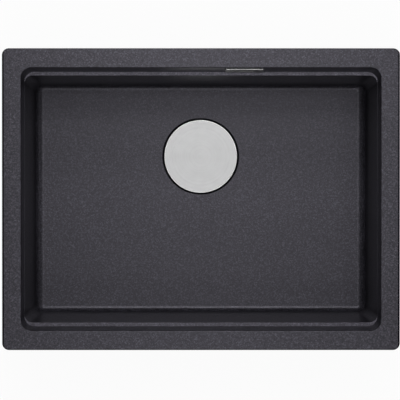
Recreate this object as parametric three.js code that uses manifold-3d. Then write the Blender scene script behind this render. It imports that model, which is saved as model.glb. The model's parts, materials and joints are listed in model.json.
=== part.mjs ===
// Undermount kitchen sink: a cast stone-composite bowl with a ledge along its front and back, a basket
// strainer waste under a flat round cover, an overflow piped to the waste, and swivel mounting clips.
//
// Units are millimetres. +Z is up, +Y is the back of the sink and +X is its right.
// The origin is the centre of the rim's top face, the face that is sealed to the worktop.

import * as THREE from 'three';
import { mergeVertices } from 'three/addons/utils/BufferGeometryUtils.js';
import Module from 'manifold-3d';

const wasm = await Module();
wasm.setup();

// ---------------------------------------------------------------- driving dimensions

// Bowl, inside
const OPENING_LENGTH = 524; // along X, between the walls just under the rim's edge
const OPENING_WIDTH = 383; // along Y
const OPENING_CORNER_RADIUS = 15;
const UPPER_FOOT_CORNER_RADIUS = 14.5; // of the upper wall, where it meets the ledge
const UPPER_SIDE_DRAFT = 4; // degrees, from the rim down to the ledge's height
const UPPER_END_DRAFT = 8.4; // of the front and back walls, which carry the ledges
const LEDGE_DEPTH = 30; // below the rim's top face
const LEDGE_WIDTH = 4; // the flat strip
const LEDGE_FILLET_RADIUS = 0.6; // where the upper wall meets the ledge
const LEDGE_EDGE_RADIUS = 1;
const LEDGE_SIDE_STEP = 0.1; // hairline in the side walls, in which the ledge dies out
const LOWER_SIDE_DRAFT = 0.7; // degrees, left and right walls
const LOWER_END_DRAFT = 1.5; // degrees, front and back walls
const BOWL_DEPTH = 200;
const BOWL_CORNER_RADIUS = 12;
const BOTTOM_FILLET_HEIGHT = 11; // the bottom fillet is a quarter of an oval
const BOTTOM_SIDE_FILLET = 13; // its width along X, at the left and right walls
const BOTTOM_END_FILLET = 9.5; // its width along Y, at the front and back walls

// Rim
const RIM_SIDE_WIDTH = 28; // opening to the outer edge, left and right
const RIM_END_WIDTH = 28.5; // the same at the front and the back
const RIM_CORNER_RADIUS = 10;
const RIM_EDGE_RADIUS = 1.5; // rounding of the top face's inner edge
const RIM_OUTER_EDGE_RADIUS = 2.8; // rounding of its outer edge
const FLANGE_THICKNESS = 10;
const FLANGE_FOOT_RADIUS = 0.8; // rounding of the rim's lower outer edge

// Bowl, outside
const WALL_THICKNESS = 9;
const FLOOR_THICKNESS = 9;
const FLANGE_FILLET_RADIUS = 2; // between the rim's underside and the outer wall
const LEDGE_BACKING = 5; // the outer wall stays full this far below the ledge, then slopes in
const LEDGE_SLOPE_DROP = 6;
const BOTTOM_OUTER_RADIUS = 20;

// Strainer dish and its seals
const DISH_RADIUS = 43; // outside, under the flange
const DISH_FLANGE_WIDTH = 13;
const DISH_THICKNESS = 1;
const DISH_NECK_DEPTH = 8; // straight part below the flange
const DISH_CONE_DEPTH = 8; // conical seat of the basket
const DISH_CONE_STEP = 6; // the cone narrows the dish by this much
const DISH_LIP_RADIUS = 1.5;
const WELL_HOLE_RADIUS = 6;
const WELL_HOLE_COUNT = 6;
const WELL_HOLE_RING_RADIUS = 22;
const FLANGE_SEAL_THICKNESS = 1.5;
const FLANGE_SEAL_EDGE_INSET = 1.5; // inside the dish's flange
const FLANGE_SEAL_BORE_CLEARANCE = 3; // round the dish
const BODY_SEAL_THICKNESS = 3;
const BODY_SEAL_SETBACK = 2.5; // from the drain hole's edge

// Drain seat in the floor
const DRAIN_SETBACK = 126; // the opening's back wall to the drain's centre line
const RECESS_CLEARANCE = 3.5; // round the dish's flange
const RECESS_DEPTH = 8;
const RECESS_EDGE_RADIUS = 1;
const DRAIN_HOLE_CLEARANCE = 2; // round the dish
const BOSS_WALL = 12; // round the recess
const BOSS_THICKNESS = 10; // left under the recess

// Waste body, its screw and its outlet
const BODY_ROOM = 3.5; // between the dish and the waste body's wall
const BODY_THICKNESS = 2.5;
const BODY_FLANGE_THICKNESS = 4;
const BODY_CONE_MARGIN = 1.5; // straight wall kept below the inlet and the spider's arms
const BODY_CONE_DEPTH = 10;
const OUTLET_RADIUS = 23.9; // outside of the threaded outlet
const OUTLET_THICKNESS = 4.4;
const OUTLET_LENGTH = 18;
const SPIDER_ARMS = 3;
const SPIDER_ARM_WIDTH = 5;
const SPIDER_ARM_HEIGHT = 6;
const SPIDER_BOSS_WALL = 2.9; // round the insert
const SPIDER_BOSS_HEIGHT = 14;
const SPIDER_ROOM = 4.2; // between the dish's bottom and the boss
const CENTRE_INSERT_WALL = 1.5;
const CENTRE_SCREW_RADIUS = 3;
const CENTRE_SCREW_PAST = 2; // beyond the insert
const CENTRE_SCREW_HEAD_RADIUS = 7;
const CENTRE_SCREW_HEAD_HEIGHT = 4;
const CENTRE_SCREW_HEAD_CHAMFER = 1.5;
const CENTRE_SCREW_SLOT_WIDTH = 1.8;
const CENTRE_SCREW_SLOT_DEPTH = 2;
const OUTLET_WASHER_THICKNESS = 2.5;
const TAILPIECE_RADIUS = 20;
const TAILPIECE_THICKNESS = 2;
const TAILPIECE_LENGTH = 43;
const TAILPIECE_FLANGE_THICKNESS = 2;
const OUTLET_NUT_WALL = 3.3;
const OUTLET_NUT_RIBS = 8;
const OUTLET_NUT_RIB_WIDTH = 3;
const OUTLET_NUT_GRIP = 14; // length that overlaps the thread
const OUTLET_NUT_LIP_THICKNESS = 3;

// Basket
const BASKET_THICKNESS = 0.9;
const BASKET_CLEARANCE = 1.5; // round the cup, inside the dish's well
const BASKET_FLANGE_CLEARANCE = 0.8; // round the flange, inside the dish's neck
const BASKET_DEPTH = 18.5;
const BASKET_FLOOR_ROOM = 4.1; // between the cup's floor and the centre screw
const BASKET_SLOTS = 12;
const BASKET_SLOT_WIDTH = 4;
const BASKET_SLOT_HEIGHT = 9;
const BASKET_HOLE_RADIUS = 2.4;
const BASKET_INNER_HOLES = 6;
const BASKET_INNER_RING_RADIUS = 14;
const BASKET_OUTER_HOLES = 12;
const BASKET_OUTER_RING_RADIUS = 24;
const STEM_RADIUS = 3;
const STEM_COLLAR_RADIUS = 6;
const STEM_COLLAR_THICKNESS = 1.8;
const STEM_COLLAR_CHAMFER = 0.9;
const STEM_RIVET_RADIUS = 4.2;
const STEM_RIVET_THICKNESS = 0.9;
const KNOB_RADIUS = 9;
const KNOB_HEIGHT = 5;
const KNOB_CHAMFER = 1.7;
const KNOB_TOP_CHAMFER = 2.2; // across the top edge
const KNOB_ROOM = 1.1; // between the knob and the cover's carrier
const STOPPER_DEPTH = 4;
const STOPPER_WIDTH = 3.2; // of the ring's foot
const STOPPER_CLEARANCE = 0.45; // to the dish's cone

// Flat cover over the drain
const COVER_OVERHANG = 1; // past the dish's flange
const COVER_THICKNESS = 1.5;
const COVER_BEVEL = 0.5;
const CARRIER_WIDTH = 6;
const CARRIER_THICKNESS = 1.6;
const CARRIER_HUB_RADIUS = 9;
const CARRIER_SPOKES = 6;
const CARRIER_SPOKE_WIDTH = 5;
const FOOT_COUNT = 6;
const FOOT_RADIUS = 2.6;
const FOOT_HEIGHT = 1.7;

// Overflow, its cover and its housing
const OVERFLOW_X = 64;
const OVERFLOW_SLOT_LENGTH = 34;
const OVERFLOW_SLOT_HEIGHT = 6;
const OVERFLOW_COVER_THICKNESS = 1.5;
const OVERFLOW_COVER_CORNER_RADIUS = 2;
const OVERFLOW_COVER_SIDE_MARGIN = 1.5; // outside the screws' heads
const OVERFLOW_COVER_FOOT_MARGIN = 3; // above the ledge
const OVERFLOW_SCREW_RADIUS = 2;
const OVERFLOW_SCREW_HEAD_RADIUS = 4;
const OVERFLOW_SCREW_HEAD_HEIGHT = 1.2;
const OVERFLOW_SCREW_ENGAGE = 4.5; // length inside the insert
const OVERFLOW_GASKET_THICKNESS = 2;
const OVERFLOW_INSERT_WALL = 1.3;
const OVERFLOW_INSERT_LENGTH = 8;
const CHAMBER_MARGIN = 1; // past each end of the slot
const CHAMBER_DEPTH = 11.4; // along Y
const INSERT_INNER_WALL = 1.1; // between the chamber and an insert
const INSERT_OUTER_WALL = 2.1; // between an insert and the housing's end
const HOUSING_THICKNESS = 2;
const HOUSING_CORNER_RADIUS = 3;
const HOUSING_TOP_ROOM = 2.3; // between the rim's underside and the housing
const HOUSING_RISE = 4.7; // above the slot's centre
const HOUSING_FOOT_ROOM = 3; // below the slope of the outer wall

// Overflow pipe and its two slip joints
const PIPE_RADIUS = 9;
const PIPE_THICKNESS = 1.5;
const PIPE_BEND_RADIUS = 30;
const SOCKET_THICKNESS = 1.5;
const SOCKET_LENGTH = 14;
const SOCKET_ROOT = 4; // how far the housing's socket runs up beside its floor
const SOCKET_STOP = 4; // depth at which the pipe's end stops
const CONE_SEAL_THICKNESS = 3;
const SLIP_NUT_WALL = 1.7;
const SLIP_NUT_GRIP = 8;
const SLIP_NUT_LIP_THICKNESS = 3;
const SLIP_NUT_RIBS = 6;
const SLIP_NUT_RIB_WIDTH = 1.6;
const SLIP_NUT_ROOM = 2.4; // between the upper nut and the bowl's outer wall
const INLET_TOP_ROOM = 6.7; // between the waste body's flange and its inlet
const INLET_NECK = 3; // between the waste body's wall and its inlet's socket

// Mounting clips
const CLIP_CORNER_DISTANCE = 125; // the rim's short side to the pivots along the front and the back
const CLIP_SIDE_SHIFT = 20; // the side clips' pivots sit this far in front of the rim's middle
const CLIP_REACH = 50; // pivot to the arm's tip
const CLIP_WIDTH = 15;
const CLIP_THICKNESS = 2;
const CLIP_FLANGE_HEIGHT = 4; // turned-down sides of the arm, with the arm's thickness
const CLIP_FLANGE_START = 10; // from the pivot
const CLIP_FLANGE_MARGIN = 4; // to the arm's tip
const CLIP_SLOT_LENGTH = 16;
const CLIP_SLOT_WIDTH = 5.6;
const CLIP_SLOT_MARGIN = 6; // to the arm's tip
const CLIP_INSERT_WALL = 1.4;
const CLIP_INSERT_LENGTH = 6.8;
const CLIP_SCREW_RADIUS = 2.5;
const CLIP_SCREW_HEAD_RADIUS = 4.3;
const CLIP_SCREW_HEAD_HEIGHT = 3;
const CLIP_SCREW_SOCKET_RADIUS = 1.9;
const CLIP_SCREW_SOCKET_DEPTH = 1.5;
const CLIP_SCREW_ENGAGE = 6; // length inside the insert
const CLIP_WASHER_RADIUS = 6;
const CLIP_WASHER_THICKNESS = 1;

// Clearances
const SEAT_GAP = 0.3; // between pieces that rest on or in one another
const RUN_GAP = 0.3; // round a shaft that turns
const CUT_PAST = 2; // how far a cutting body runs past the face that it opens

// Facets
const CORNER_STEPS = 5;
const FILLET_STEPS = 4;
const EDGE_STEPS = 2;
const LARGE_ROUND = 32;
const MEDIUM_ROUND = 24;
const SMALL_ROUND = 12;
const TINY_ROUND = 10;
const HOLE_ROUND = 6;
const SHAPE_STEPS = 2; // an arc in a flat shape gets twice as many sides
const PIPE_STEPS = 18;
const MERGE_DISTANCE = 1e-4;

// ---------------------------------------------------------------- derived levels and places

const degrees = (value) => THREE.MathUtils.degToRad(value);
const QUARTER_TURN = Math.PI / 2;
const HALF_TURN = Math.PI;
const FULL_TURN = 2 * Math.PI;

const rimLength = OPENING_LENGTH + 2 * RIM_SIDE_WIDTH;
const rimWidth = OPENING_WIDTH + 2 * RIM_END_WIDTH;

const floorZ = -BOWL_DEPTH;
const ledgeZ = -LEDGE_DEPTH;
const undersideZ = -FLANGE_THICKNESS;
const upperWallInset = (z, draft) => (-z - RIM_EDGE_RADIUS) * Math.tan(degrees(draft));
const upperHalfY = (z) => OPENING_WIDTH / 2 - upperWallInset(z, UPPER_END_DRAFT);
const upperHalfX = (z) => OPENING_LENGTH / 2 - upperWallInset(z, UPPER_SIDE_DRAFT);
// The flat strip of the ledge ends here, at the foot of its fillet
const ledgeTopHalfY = upperHalfY(ledgeZ + LEDGE_FILLET_RADIUS) - LEDGE_FILLET_RADIUS;
const lowerTopHalfY = ledgeTopHalfY - LEDGE_WIDTH - LEDGE_EDGE_RADIUS;
const lowerTopHalfX = upperHalfX(ledgeZ) - LEDGE_SIDE_STEP;
const lowerWallHeight = BOWL_DEPTH - LEDGE_DEPTH - LEDGE_EDGE_RADIUS - BOTTOM_FILLET_HEIGHT;
const lowerFootHalfY = lowerTopHalfY - lowerWallHeight * Math.tan(degrees(LOWER_END_DRAFT));
const lowerFootHalfX = lowerTopHalfX - lowerWallHeight * Math.tan(degrees(LOWER_SIDE_DRAFT));
const outerUpperHalfY = OPENING_WIDTH / 2 + WALL_THICKNESS;
const outerUpperHalfX = OPENING_LENGTH / 2 + WALL_THICKNESS;
const outerLowerHalfY = lowerTopHalfY + WALL_THICKNESS;
const outerLowerHalfX = lowerTopHalfX + WALL_THICKNESS;
const slopeTopZ = ledgeZ - LEDGE_BACKING;
const slopeFootZ = slopeTopZ - LEDGE_SLOPE_DROP;
const bottomZ = floorZ - FLOOR_THICKNESS;

const drainY = OPENING_WIDTH / 2 - DRAIN_SETBACK;
const dishFlangeRadius = DISH_RADIUS + DISH_FLANGE_WIDTH;
const recessRadius = dishFlangeRadius + RECESS_CLEARANCE;
const drainHoleRadius = DISH_RADIUS + DRAIN_HOLE_CLEARANCE;
const recessZ = floorZ - RECESS_DEPTH;
const bossZ = recessZ - BOSS_THICKNESS;
const flangeSealZ = recessZ + SEAT_GAP;
const dishSeatZ = flangeSealZ + FLANGE_SEAL_THICKNESS + SEAT_GAP; // underside of the dish's flange
const dishTopZ = dishSeatZ + DISH_THICKNESS;
const dishNeckZ = dishSeatZ - DISH_NECK_DEPTH;
const dishConeZ = dishNeckZ - DISH_CONE_DEPTH;
const dishBoreRadius = DISH_RADIUS - DISH_THICKNESS;
const wellRadius = DISH_RADIUS - DISH_CONE_STEP; // outside
const wellBoreRadius = wellRadius - DISH_THICKNESS;

const basketRadius = wellBoreRadius - BASKET_CLEARANCE;
const basketFlangeRadius = dishBoreRadius - BASKET_FLANGE_CLEARANCE;
const basketSeatZ = dishNeckZ + DISH_THICKNESS; // underside of the basket's flange, just above the cone
const basketTopZ = basketSeatZ + BASKET_THICKNESS;
const basketBottomZ = basketTopZ - BASKET_DEPTH;

const screwHeadTopZ = basketBottomZ - BASKET_FLOOR_ROOM;
const screwHeadZ = screwHeadTopZ - CENTRE_SCREW_HEAD_HEIGHT;
const wellFloorZ = screwHeadZ - SEAT_GAP;
const dishBottomZ = wellFloorZ - DISH_THICKNESS;
const centreInsertRadius = CENTRE_SCREW_RADIUS + SEAT_GAP + CENTRE_INSERT_WALL;
const spiderBossRadius = centreInsertRadius + SEAT_GAP + SPIDER_BOSS_WALL;
const spiderTopZ = dishBottomZ - SPIDER_ROOM;
const spiderBottomZ = spiderTopZ - SPIDER_BOSS_HEIGHT;
const spiderArmZ = (spiderTopZ + spiderBottomZ - SPIDER_ARM_HEIGHT) / 2;

const pipeBoreRadius = PIPE_RADIUS - PIPE_THICKNESS;
const socketBoreRadius = PIPE_RADIUS + SEAT_GAP;
const socketRadius = socketBoreRadius + SOCKET_THICKNESS;
const slipNutRadius = socketRadius + SEAT_GAP + SLIP_NUT_WALL;

const bodySealZ = bossZ - SEAT_GAP - BODY_SEAL_THICKNESS;
const bodyTopZ = bodySealZ - SEAT_GAP;
const bodyFlangeZ = bodyTopZ - BODY_FLANGE_THICKNESS;
const bodyBoreRadius = DISH_RADIUS + BODY_ROOM;
const bodyRadius = bodyBoreRadius + BODY_THICKNESS;
const bodyFlangeRadius = dishFlangeRadius;
const inletZ = bodyFlangeZ - INLET_TOP_ROOM - socketRadius;
const bodyConeZ = Math.min(inletZ - socketRadius, spiderArmZ) - BODY_CONE_MARGIN;
const outletZ = bodyConeZ - BODY_CONE_DEPTH;
const outletEndZ = outletZ - OUTLET_LENGTH;
const outletBoreRadius = OUTLET_RADIUS - OUTLET_THICKNESS;
const washerZ = outletEndZ - SEAT_GAP - OUTLET_WASHER_THICKNESS;
const tailFlangeTopZ = washerZ - SEAT_GAP;
const tailFlangeZ = tailFlangeTopZ - TAILPIECE_FLANGE_THICKNESS;
const tailEndZ = tailFlangeTopZ - TAILPIECE_LENGTH;
const outletNutLipZ = tailFlangeZ - SEAT_GAP;

const coverRadius = dishFlangeRadius + COVER_OVERHANG;
const carrierMidRadius = (DISH_RADIUS + dishFlangeRadius) / 2; // over the middle of the dish's flange
const footZ = dishTopZ + SEAT_GAP;
const carrierZ = footZ + FOOT_HEIGHT;
const coverZ = carrierZ + CARRIER_THICKNESS + SEAT_GAP;
const coverTopZ = coverZ + COVER_THICKNESS;
const knobTopZ = carrierZ - KNOB_ROOM;

const overflowZ = undersideZ - HOUSING_TOP_ROOM - HOUSING_RISE;
const overflowFaceY = upperHalfY(overflowZ);
const overflowCoverHeight = 2 * (overflowZ - ledgeZ - OVERFLOW_COVER_FOOT_MARGIN);
const overflowInsertRadius = OVERFLOW_SCREW_RADIUS + SEAT_GAP + OVERFLOW_INSERT_WALL;
const chamberLength = OVERFLOW_SLOT_LENGTH + 2 * CHAMBER_MARGIN;
const overflowHalfPitch = chamberLength / 2 + INSERT_INNER_WALL + SEAT_GAP + overflowInsertRadius;
const overflowCoverEnd = OVERFLOW_SCREW_HEAD_RADIUS + OVERFLOW_COVER_SIDE_MARGIN; // past a screw's axis
const overflowCoverLength = 2 * (overflowHalfPitch + overflowCoverEnd);
const housingLength = 2 * (overflowHalfPitch + overflowInsertRadius + SEAT_GAP + INSERT_OUTER_WALL);
const housingDepth = CHAMBER_DEPTH + 2 * HOUSING_THICKNESS;
const gasketY = outerUpperHalfY + SEAT_GAP;
const housingFrontY = gasketY + OVERFLOW_GASKET_THICKNESS + SEAT_GAP;
const housingTopZ = overflowZ + HOUSING_RISE;
const housingBottomZ = slopeFootZ - HOUSING_FOOT_ROOM;
const overflowInsertDepth = housingFrontY - overflowFaceY + HOUSING_THICKNESS; // behind the sloping face
const coverFaceDepth = -SEAT_GAP - OVERFLOW_COVER_THICKNESS;

const pipeY = outerLowerHalfY + slipNutRadius + SLIP_NUT_RIB_WIDTH / 2 + SLIP_NUT_ROOM;
const inletReach = bodyRadius + INLET_NECK; // waste's centre line to the root of its inlet's socket
const inletDirection = new THREE.Vector3(OVERFLOW_X, pipeY - drainY, 0).normalize();

const clipTopZ = undersideZ - SEAT_GAP;
const clipBottomZ = clipTopZ - CLIP_THICKNESS;
const clipWasherZ = clipBottomZ - SEAT_GAP - CLIP_WASHER_THICKNESS;
const clipInset = (stripWidth) => (stripWidth - WALL_THICKNESS - FLANGE_FILLET_RADIUS) / 2;
const clipInsertRadius = CLIP_SCREW_RADIUS + SEAT_GAP + CLIP_INSERT_WALL;

// ---------------------------------------------------------------- materials

const surface = (colour, roughness, metalness) => () => new THREE.MeshStandardMaterial({
  color: colour,
  roughness,
  metalness,
});
const composite = surface(0x413f45, 0.55, 0);
const brushedSteel = surface(0xbdbdbd, 0.35, 1);
const zincSteel = surface(0xa9acae, 0.45, 1);
const brass = surface(0xb08d4a, 0.4, 1);
const blackPlastic = surface(0x1f2022, 0.5, 0);
const greyPlastic = surface(0xd7d8d6, 0.5, 0);
const blackRubber = surface(0x161616, 0.8, 0);

// ---------------------------------------------------------------- geometry helpers

// Signed volume of an indexed closed mesh: negative when its faces point inwards
function signedVolume(geometry) {
  const { position } = geometry.attributes;
  const corners = geometry.index.array;
  const a = new THREE.Vector3();
  const b = new THREE.Vector3();
  const c = new THREE.Vector3();
  let sum = 0;
  for (let i = 0; i < corners.length; i += 3) {
    a.fromBufferAttribute(position, corners[i]);
    b.fromBufferAttribute(position, corners[i + 1]);
    c.fromBufferAttribute(position, corners[i + 2]);
    sum += a.dot(b.cross(c));
  }
  return sum / 6; // each corner triple spans six times a tetrahedron
}

// Shares the vertices, drops the collapsed triangles and turns the faces outwards
function closed(geometry) {
  const bare = geometry.clone();
  bare.deleteAttribute('normal');
  bare.deleteAttribute('uv');
  const merged = mergeVertices(bare, MERGE_DISTANCE);
  const kept = [];
  for (let i = 0; i < merged.index.count; i += 3) {
    const [a, b, c] = [0, 1, 2].map((k) => merged.index.getX(i + k));
    if (a !== b && b !== c && c !== a) kept.push(a, b, c);
  }
  merged.setIndex(kept);
  merged.clearGroups();
  if (signedVolume(merged) < 0) merged.setIndex(kept.reverse());
  return merged;
}

function toSolid(geometry) {
  const merged = closed(geometry);
  return new wasm.Manifold(new wasm.Mesh({
    numProp: 3,
    vertProperties: new Float32Array(merged.attributes.position.array),
    triVerts: new Uint32Array(merged.index.array),
  }));
}

function toGeometry(solid) {
  const mesh = solid.getMesh();
  const geometry = new THREE.BufferGeometry();
  geometry.setAttribute('position', new THREE.BufferAttribute(mesh.vertProperties, 3));
  geometry.setIndex(new THREE.BufferAttribute(mesh.triVerts, 1));
  return geometry;
}

function join(first, ...others) {
  return toGeometry(others.reduce((solid, other) => solid.add(toSolid(other)), toSolid(first)));
}

function cut(first, ...others) {
  return toGeometry(others.reduce((solid, other) => solid.subtract(toSolid(other)), toSolid(first)));
}

// A solid of revolution about Z from [radius, height] points
function revolve(profile, steps) {
  const lathe = new THREE.LatheGeometry(profile.map(([r, z]) => new THREE.Vector2(r, z)), steps);
  return closed(lathe.rotateX(QUARTER_TURN));
}

function cylinder(radius, low, high, steps) {
  return revolve([[0, low], [radius, low], [radius, high], [0, high]], steps);
}

function ring(inner, outer, low, high, steps) {
  return revolve([[inner, low], [outer, low], [outer, high], [inner, high], [inner, low]], steps);
}

function box(low, high) {
  const size = high.map((value, axis) => value - low[axis]);
  const centre = high.map((value, axis) => (value + low[axis]) / 2);
  return closed(new THREE.BoxGeometry(...size).translate(...centre));
}

// A rectangle with round corners, drawn anticlockwise in a shape's own XY plane
function roundedRectangleShape(length, height, radius, Kind = THREE.Shape) {
  const outline = new Kind();
  const halfX = length / 2 - radius;
  const halfY = height / 2 - radius;
  outline.absarc(halfX, halfY, radius, 0, QUARTER_TURN);
  outline.absarc(-halfX, halfY, radius, QUARTER_TURN, HALF_TURN);
  outline.absarc(-halfX, -halfY, radius, HALF_TURN, 3 * QUARTER_TURN);
  outline.absarc(halfX, -halfY, radius, -QUARTER_TURN, 0);
  return outline;
}

function slab(shape, depth, curveSegments = SHAPE_STEPS) {
  return closed(new THREE.ExtrudeGeometry(shape, { depth, bevelEnabled: false, curveSegments }));
}

// Stands a slab up: its outline lies in XZ and its depth runs from y = 0 towards -Y
const upright = (geometry) => geometry.rotateX(QUARTER_TURN);

// Copies of one geometry at equal angles about Z, as a list
function around(geometry, count, startAngle = 0) {
  return Array.from({ length: count }, (_, index) => (
    geometry.clone().rotateZ(startAngle + FULL_TURN * index / count)
  ));
}

// Points of a quarter round: centre, radius, first and last angle in degrees
function arc(centreR, centreZ, radius, fromDegrees, toDegrees, steps) {
  return Array.from({ length: steps + 1 }, (_, index) => {
    const angle = degrees(fromDegrees + (toDegrees - fromDegrees) * index / steps);
    return [centreR + radius * Math.cos(angle), centreZ + radius * Math.sin(angle)];
  });
}

// One level of the bowl: a rectangle with round corners, anticlockwise seen from above
function level(halfX, halfY, radius, z) {
  const corners = [[1, 1], [-1, 1], [-1, -1], [1, -1]];
  return corners.flatMap(([signX, signY], quadrant) => (
    Array.from({ length: CORNER_STEPS + 1 }, (_, step) => {
      const angle = (quadrant + step / CORNER_STEPS) * QUARTER_TURN;
      return new THREE.Vector3(
        signX * (halfX - radius) + radius * Math.cos(angle),
        signY * (halfY - radius) + radius * Math.sin(angle),
        z,
      );
    })
  ));
}

// Skins a run of levels that starts with the inner floor and ends with the outer bottom
function skin(levels) {
  const count = levels[0].length;
  const points = levels.flat();
  const innerCentre = points.push(new THREE.Vector3(0, 0, levels[0][0].z)) - 1;
  const outerCentre = points.push(new THREE.Vector3(0, 0, levels.at(-1)[0].z)) - 1;
  const lastStart = (levels.length - 1) * count;
  const triangles = [];
  for (let j = 0; j < count; j += 1) {
    const next = (j + 1) % count;
    triangles.push(innerCentre, j, next);
    triangles.push(outerCentre, lastStart + next, lastStart + j);
    for (let i = 0; i < levels.length - 1; i += 1) {
      const here = i * count;
      const there = here + count;
      triangles.push(here + j, there + j, here + next);
      triangles.push(here + next, there + j, there + next);
    }
  }
  const geometry = new THREE.BufferGeometry().setFromPoints(points);
  geometry.setIndex(triangles);
  return closed(geometry);
}

// ---------------------------------------------------------------- the assembly

const sink = new THREE.Group();
sink.name = 'undermount_kitchen_sink';

function addPiece(name, geometry, material, parent = sink) {
  geometry.computeVertexNormals();
  const mesh = new THREE.Mesh(geometry, material());
  mesh.name = name;
  parent.add(mesh);
  return mesh;
}

// Everything on the drain's centre line hangs in one group
const drain = new THREE.Group();
drain.position.set(0, drainY, 0);
sink.add(drain);

// The overflow's plate and screws lie parallel to the sloping upper back wall
const overflowFace = new THREE.Group();
overflowFace.position.set(OVERFLOW_X, overflowFaceY, overflowZ);
overflowFace.rotation.x = -degrees(UPPER_END_DRAFT);
overflowFace.updateMatrixWorld();
sink.add(overflowFace);

// ---------------------------------------------------------------- mounting clip places

// Each clip lies along its edge at rest: where its pivot is, and which way its arm points (degrees)
const endPivotX = rimLength / 2 - CLIP_CORNER_DISTANCE;
const endPivotY = rimWidth / 2 - clipInset(RIM_END_WIDTH);
const sidePivotX = rimLength / 2 - clipInset(RIM_SIDE_WIDTH);
const clipPlaces = [
  { name: 'clip_back_left', x: -endPivotX, y: endPivotY, heading: 180 },
  { name: 'clip_back_right', x: endPivotX, y: endPivotY, heading: 0 },
  { name: 'clip_front_left', x: -endPivotX, y: -endPivotY, heading: 180 },
  { name: 'clip_front_right', x: endPivotX, y: -endPivotY, heading: 0 },
  { name: 'clip_left', x: -sidePivotX, y: -CLIP_SIDE_SHIFT, heading: 90 },
  { name: 'clip_right', x: sidePivotX, y: -CLIP_SIDE_SHIFT, heading: 90 },
];

// ---------------------------------------------------------------- sink bowl

function innerLevels() {
  const levels = [];
  // The bottom fillet, from the flat floor up to the lower wall, as shares of its width and height
  arc(1, 1, 1, -90, -180, FILLET_STEPS).forEach(([inset, up]) => {
    levels.push(level(
      lowerFootHalfX - inset * BOTTOM_SIDE_FILLET,
      lowerFootHalfY - inset * BOTTOM_END_FILLET,
      BOWL_CORNER_RADIUS - inset * BOTTOM_END_FILLET,
      floorZ + up * BOTTOM_FILLET_HEIGHT,
    ));
  });
  // The ledge's rounded edge, from the lower wall to the flat strip; the side walls run on
  arc(0, 0, LEDGE_EDGE_RADIUS, 0, 90, EDGE_STEPS).forEach(([out, up]) => {
    const recede = LEDGE_EDGE_RADIUS - out;
    levels.push(level(
      lowerTopHalfX,
      lowerTopHalfY + recede,
      BOWL_CORNER_RADIUS,
      ledgeZ - LEDGE_EDGE_RADIUS + up,
    ));
  });
  // The fillet from the flat strip to the upper wall
  arc(0, 0, LEDGE_FILLET_RADIUS, -90, 0, EDGE_STEPS).forEach(([out, up]) => {
    const z = ledgeZ + LEDGE_FILLET_RADIUS + up;
    levels.push(level(upperHalfX(z), ledgeTopHalfY + out, UPPER_FOOT_CORNER_RADIUS, z));
  });
  // The rim's rounded inner edge
  arc(0, 0, RIM_EDGE_RADIUS, 180, 90, EDGE_STEPS).forEach(([out, up]) => {
    const widen = RIM_EDGE_RADIUS + out;
    levels.push(level(
      OPENING_LENGTH / 2 + widen,
      OPENING_WIDTH / 2 + widen,
      OPENING_CORNER_RADIUS + widen,
      -RIM_EDGE_RADIUS + up,
    ));
  });
  return levels;
}

function outerLevels() {
  const levels = [];
  const rimLevel = (inset, z) => level(
    rimLength / 2 - inset,
    rimWidth / 2 - inset,
    RIM_CORNER_RADIUS - inset,
    z,
  );
  arc(0, 0, RIM_OUTER_EDGE_RADIUS, 90, 0, EDGE_STEPS).forEach(([out, up]) => {
    levels.push(rimLevel(RIM_OUTER_EDGE_RADIUS - out, -RIM_OUTER_EDGE_RADIUS + up));
  });
  arc(0, 0, FLANGE_FOOT_RADIUS, 0, -90, EDGE_STEPS).forEach(([out, up]) => {
    levels.push(rimLevel(FLANGE_FOOT_RADIUS - out, undersideZ + FLANGE_FOOT_RADIUS + up));
  });
  // Under the rim to the outer wall
  const outerCornerRadius = OPENING_CORNER_RADIUS + WALL_THICKNESS;
  arc(0, 0, FLANGE_FILLET_RADIUS, 90, 180, EDGE_STEPS).forEach(([out, up]) => {
    const widen = FLANGE_FILLET_RADIUS + out;
    levels.push(level(
      outerUpperHalfX + widen,
      outerUpperHalfY + widen,
      outerCornerRadius + widen,
      undersideZ - FLANGE_FILLET_RADIUS + up,
    ));
  });
  // The outer wall steps in under the ledge
  const lowerCornerRadius = BOWL_CORNER_RADIUS + WALL_THICKNESS;
  levels.push(level(outerUpperHalfX, outerUpperHalfY, outerCornerRadius, slopeTopZ));
  levels.push(level(outerLowerHalfX, outerLowerHalfY, lowerCornerRadius, slopeFootZ));
  // The outer bottom edge
  arc(0, 0, BOTTOM_OUTER_RADIUS, 0, -90, FILLET_STEPS).forEach(([out, up]) => {
    const inset = BOTTOM_OUTER_RADIUS - out;
    levels.push(level(
      lowerFootHalfX + WALL_THICKNESS - inset,
      lowerFootHalfY + WALL_THICKNESS - inset,
      lowerCornerRadius - inset,
      bottomZ + BOTTOM_OUTER_RADIUS + up,
    ));
  });
  return levels;
}

// The recess that the waste sits in, with its through hole
function drainCut() {
  const lipRadius = recessRadius + RECESS_EDGE_RADIUS;
  return revolve([
    [0, floorZ + CUT_PAST],
    [lipRadius, floorZ + CUT_PAST],
    ...arc(lipRadius, floorZ - RECESS_EDGE_RADIUS, RECESS_EDGE_RADIUS, 90, 180, EDGE_STEPS),
    [recessRadius, recessZ],
    [drainHoleRadius, recessZ],
    [drainHoleRadius, bossZ - CUT_PAST],
    [0, bossZ - CUT_PAST],
  ], LARGE_ROUND).translate(0, drainY, 0);
}

// A slot that runs along Y through the back wall at the overflow
function overflowSlotCut(fromY, toY) {
  const shape = roundedRectangleShape(
    OVERFLOW_SLOT_LENGTH,
    OVERFLOW_SLOT_HEIGHT,
    OVERFLOW_SLOT_HEIGHT / 2,
  );
  return upright(slab(shape, toY - fromY)).translate(OVERFLOW_X, toY, overflowZ);
}

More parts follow.
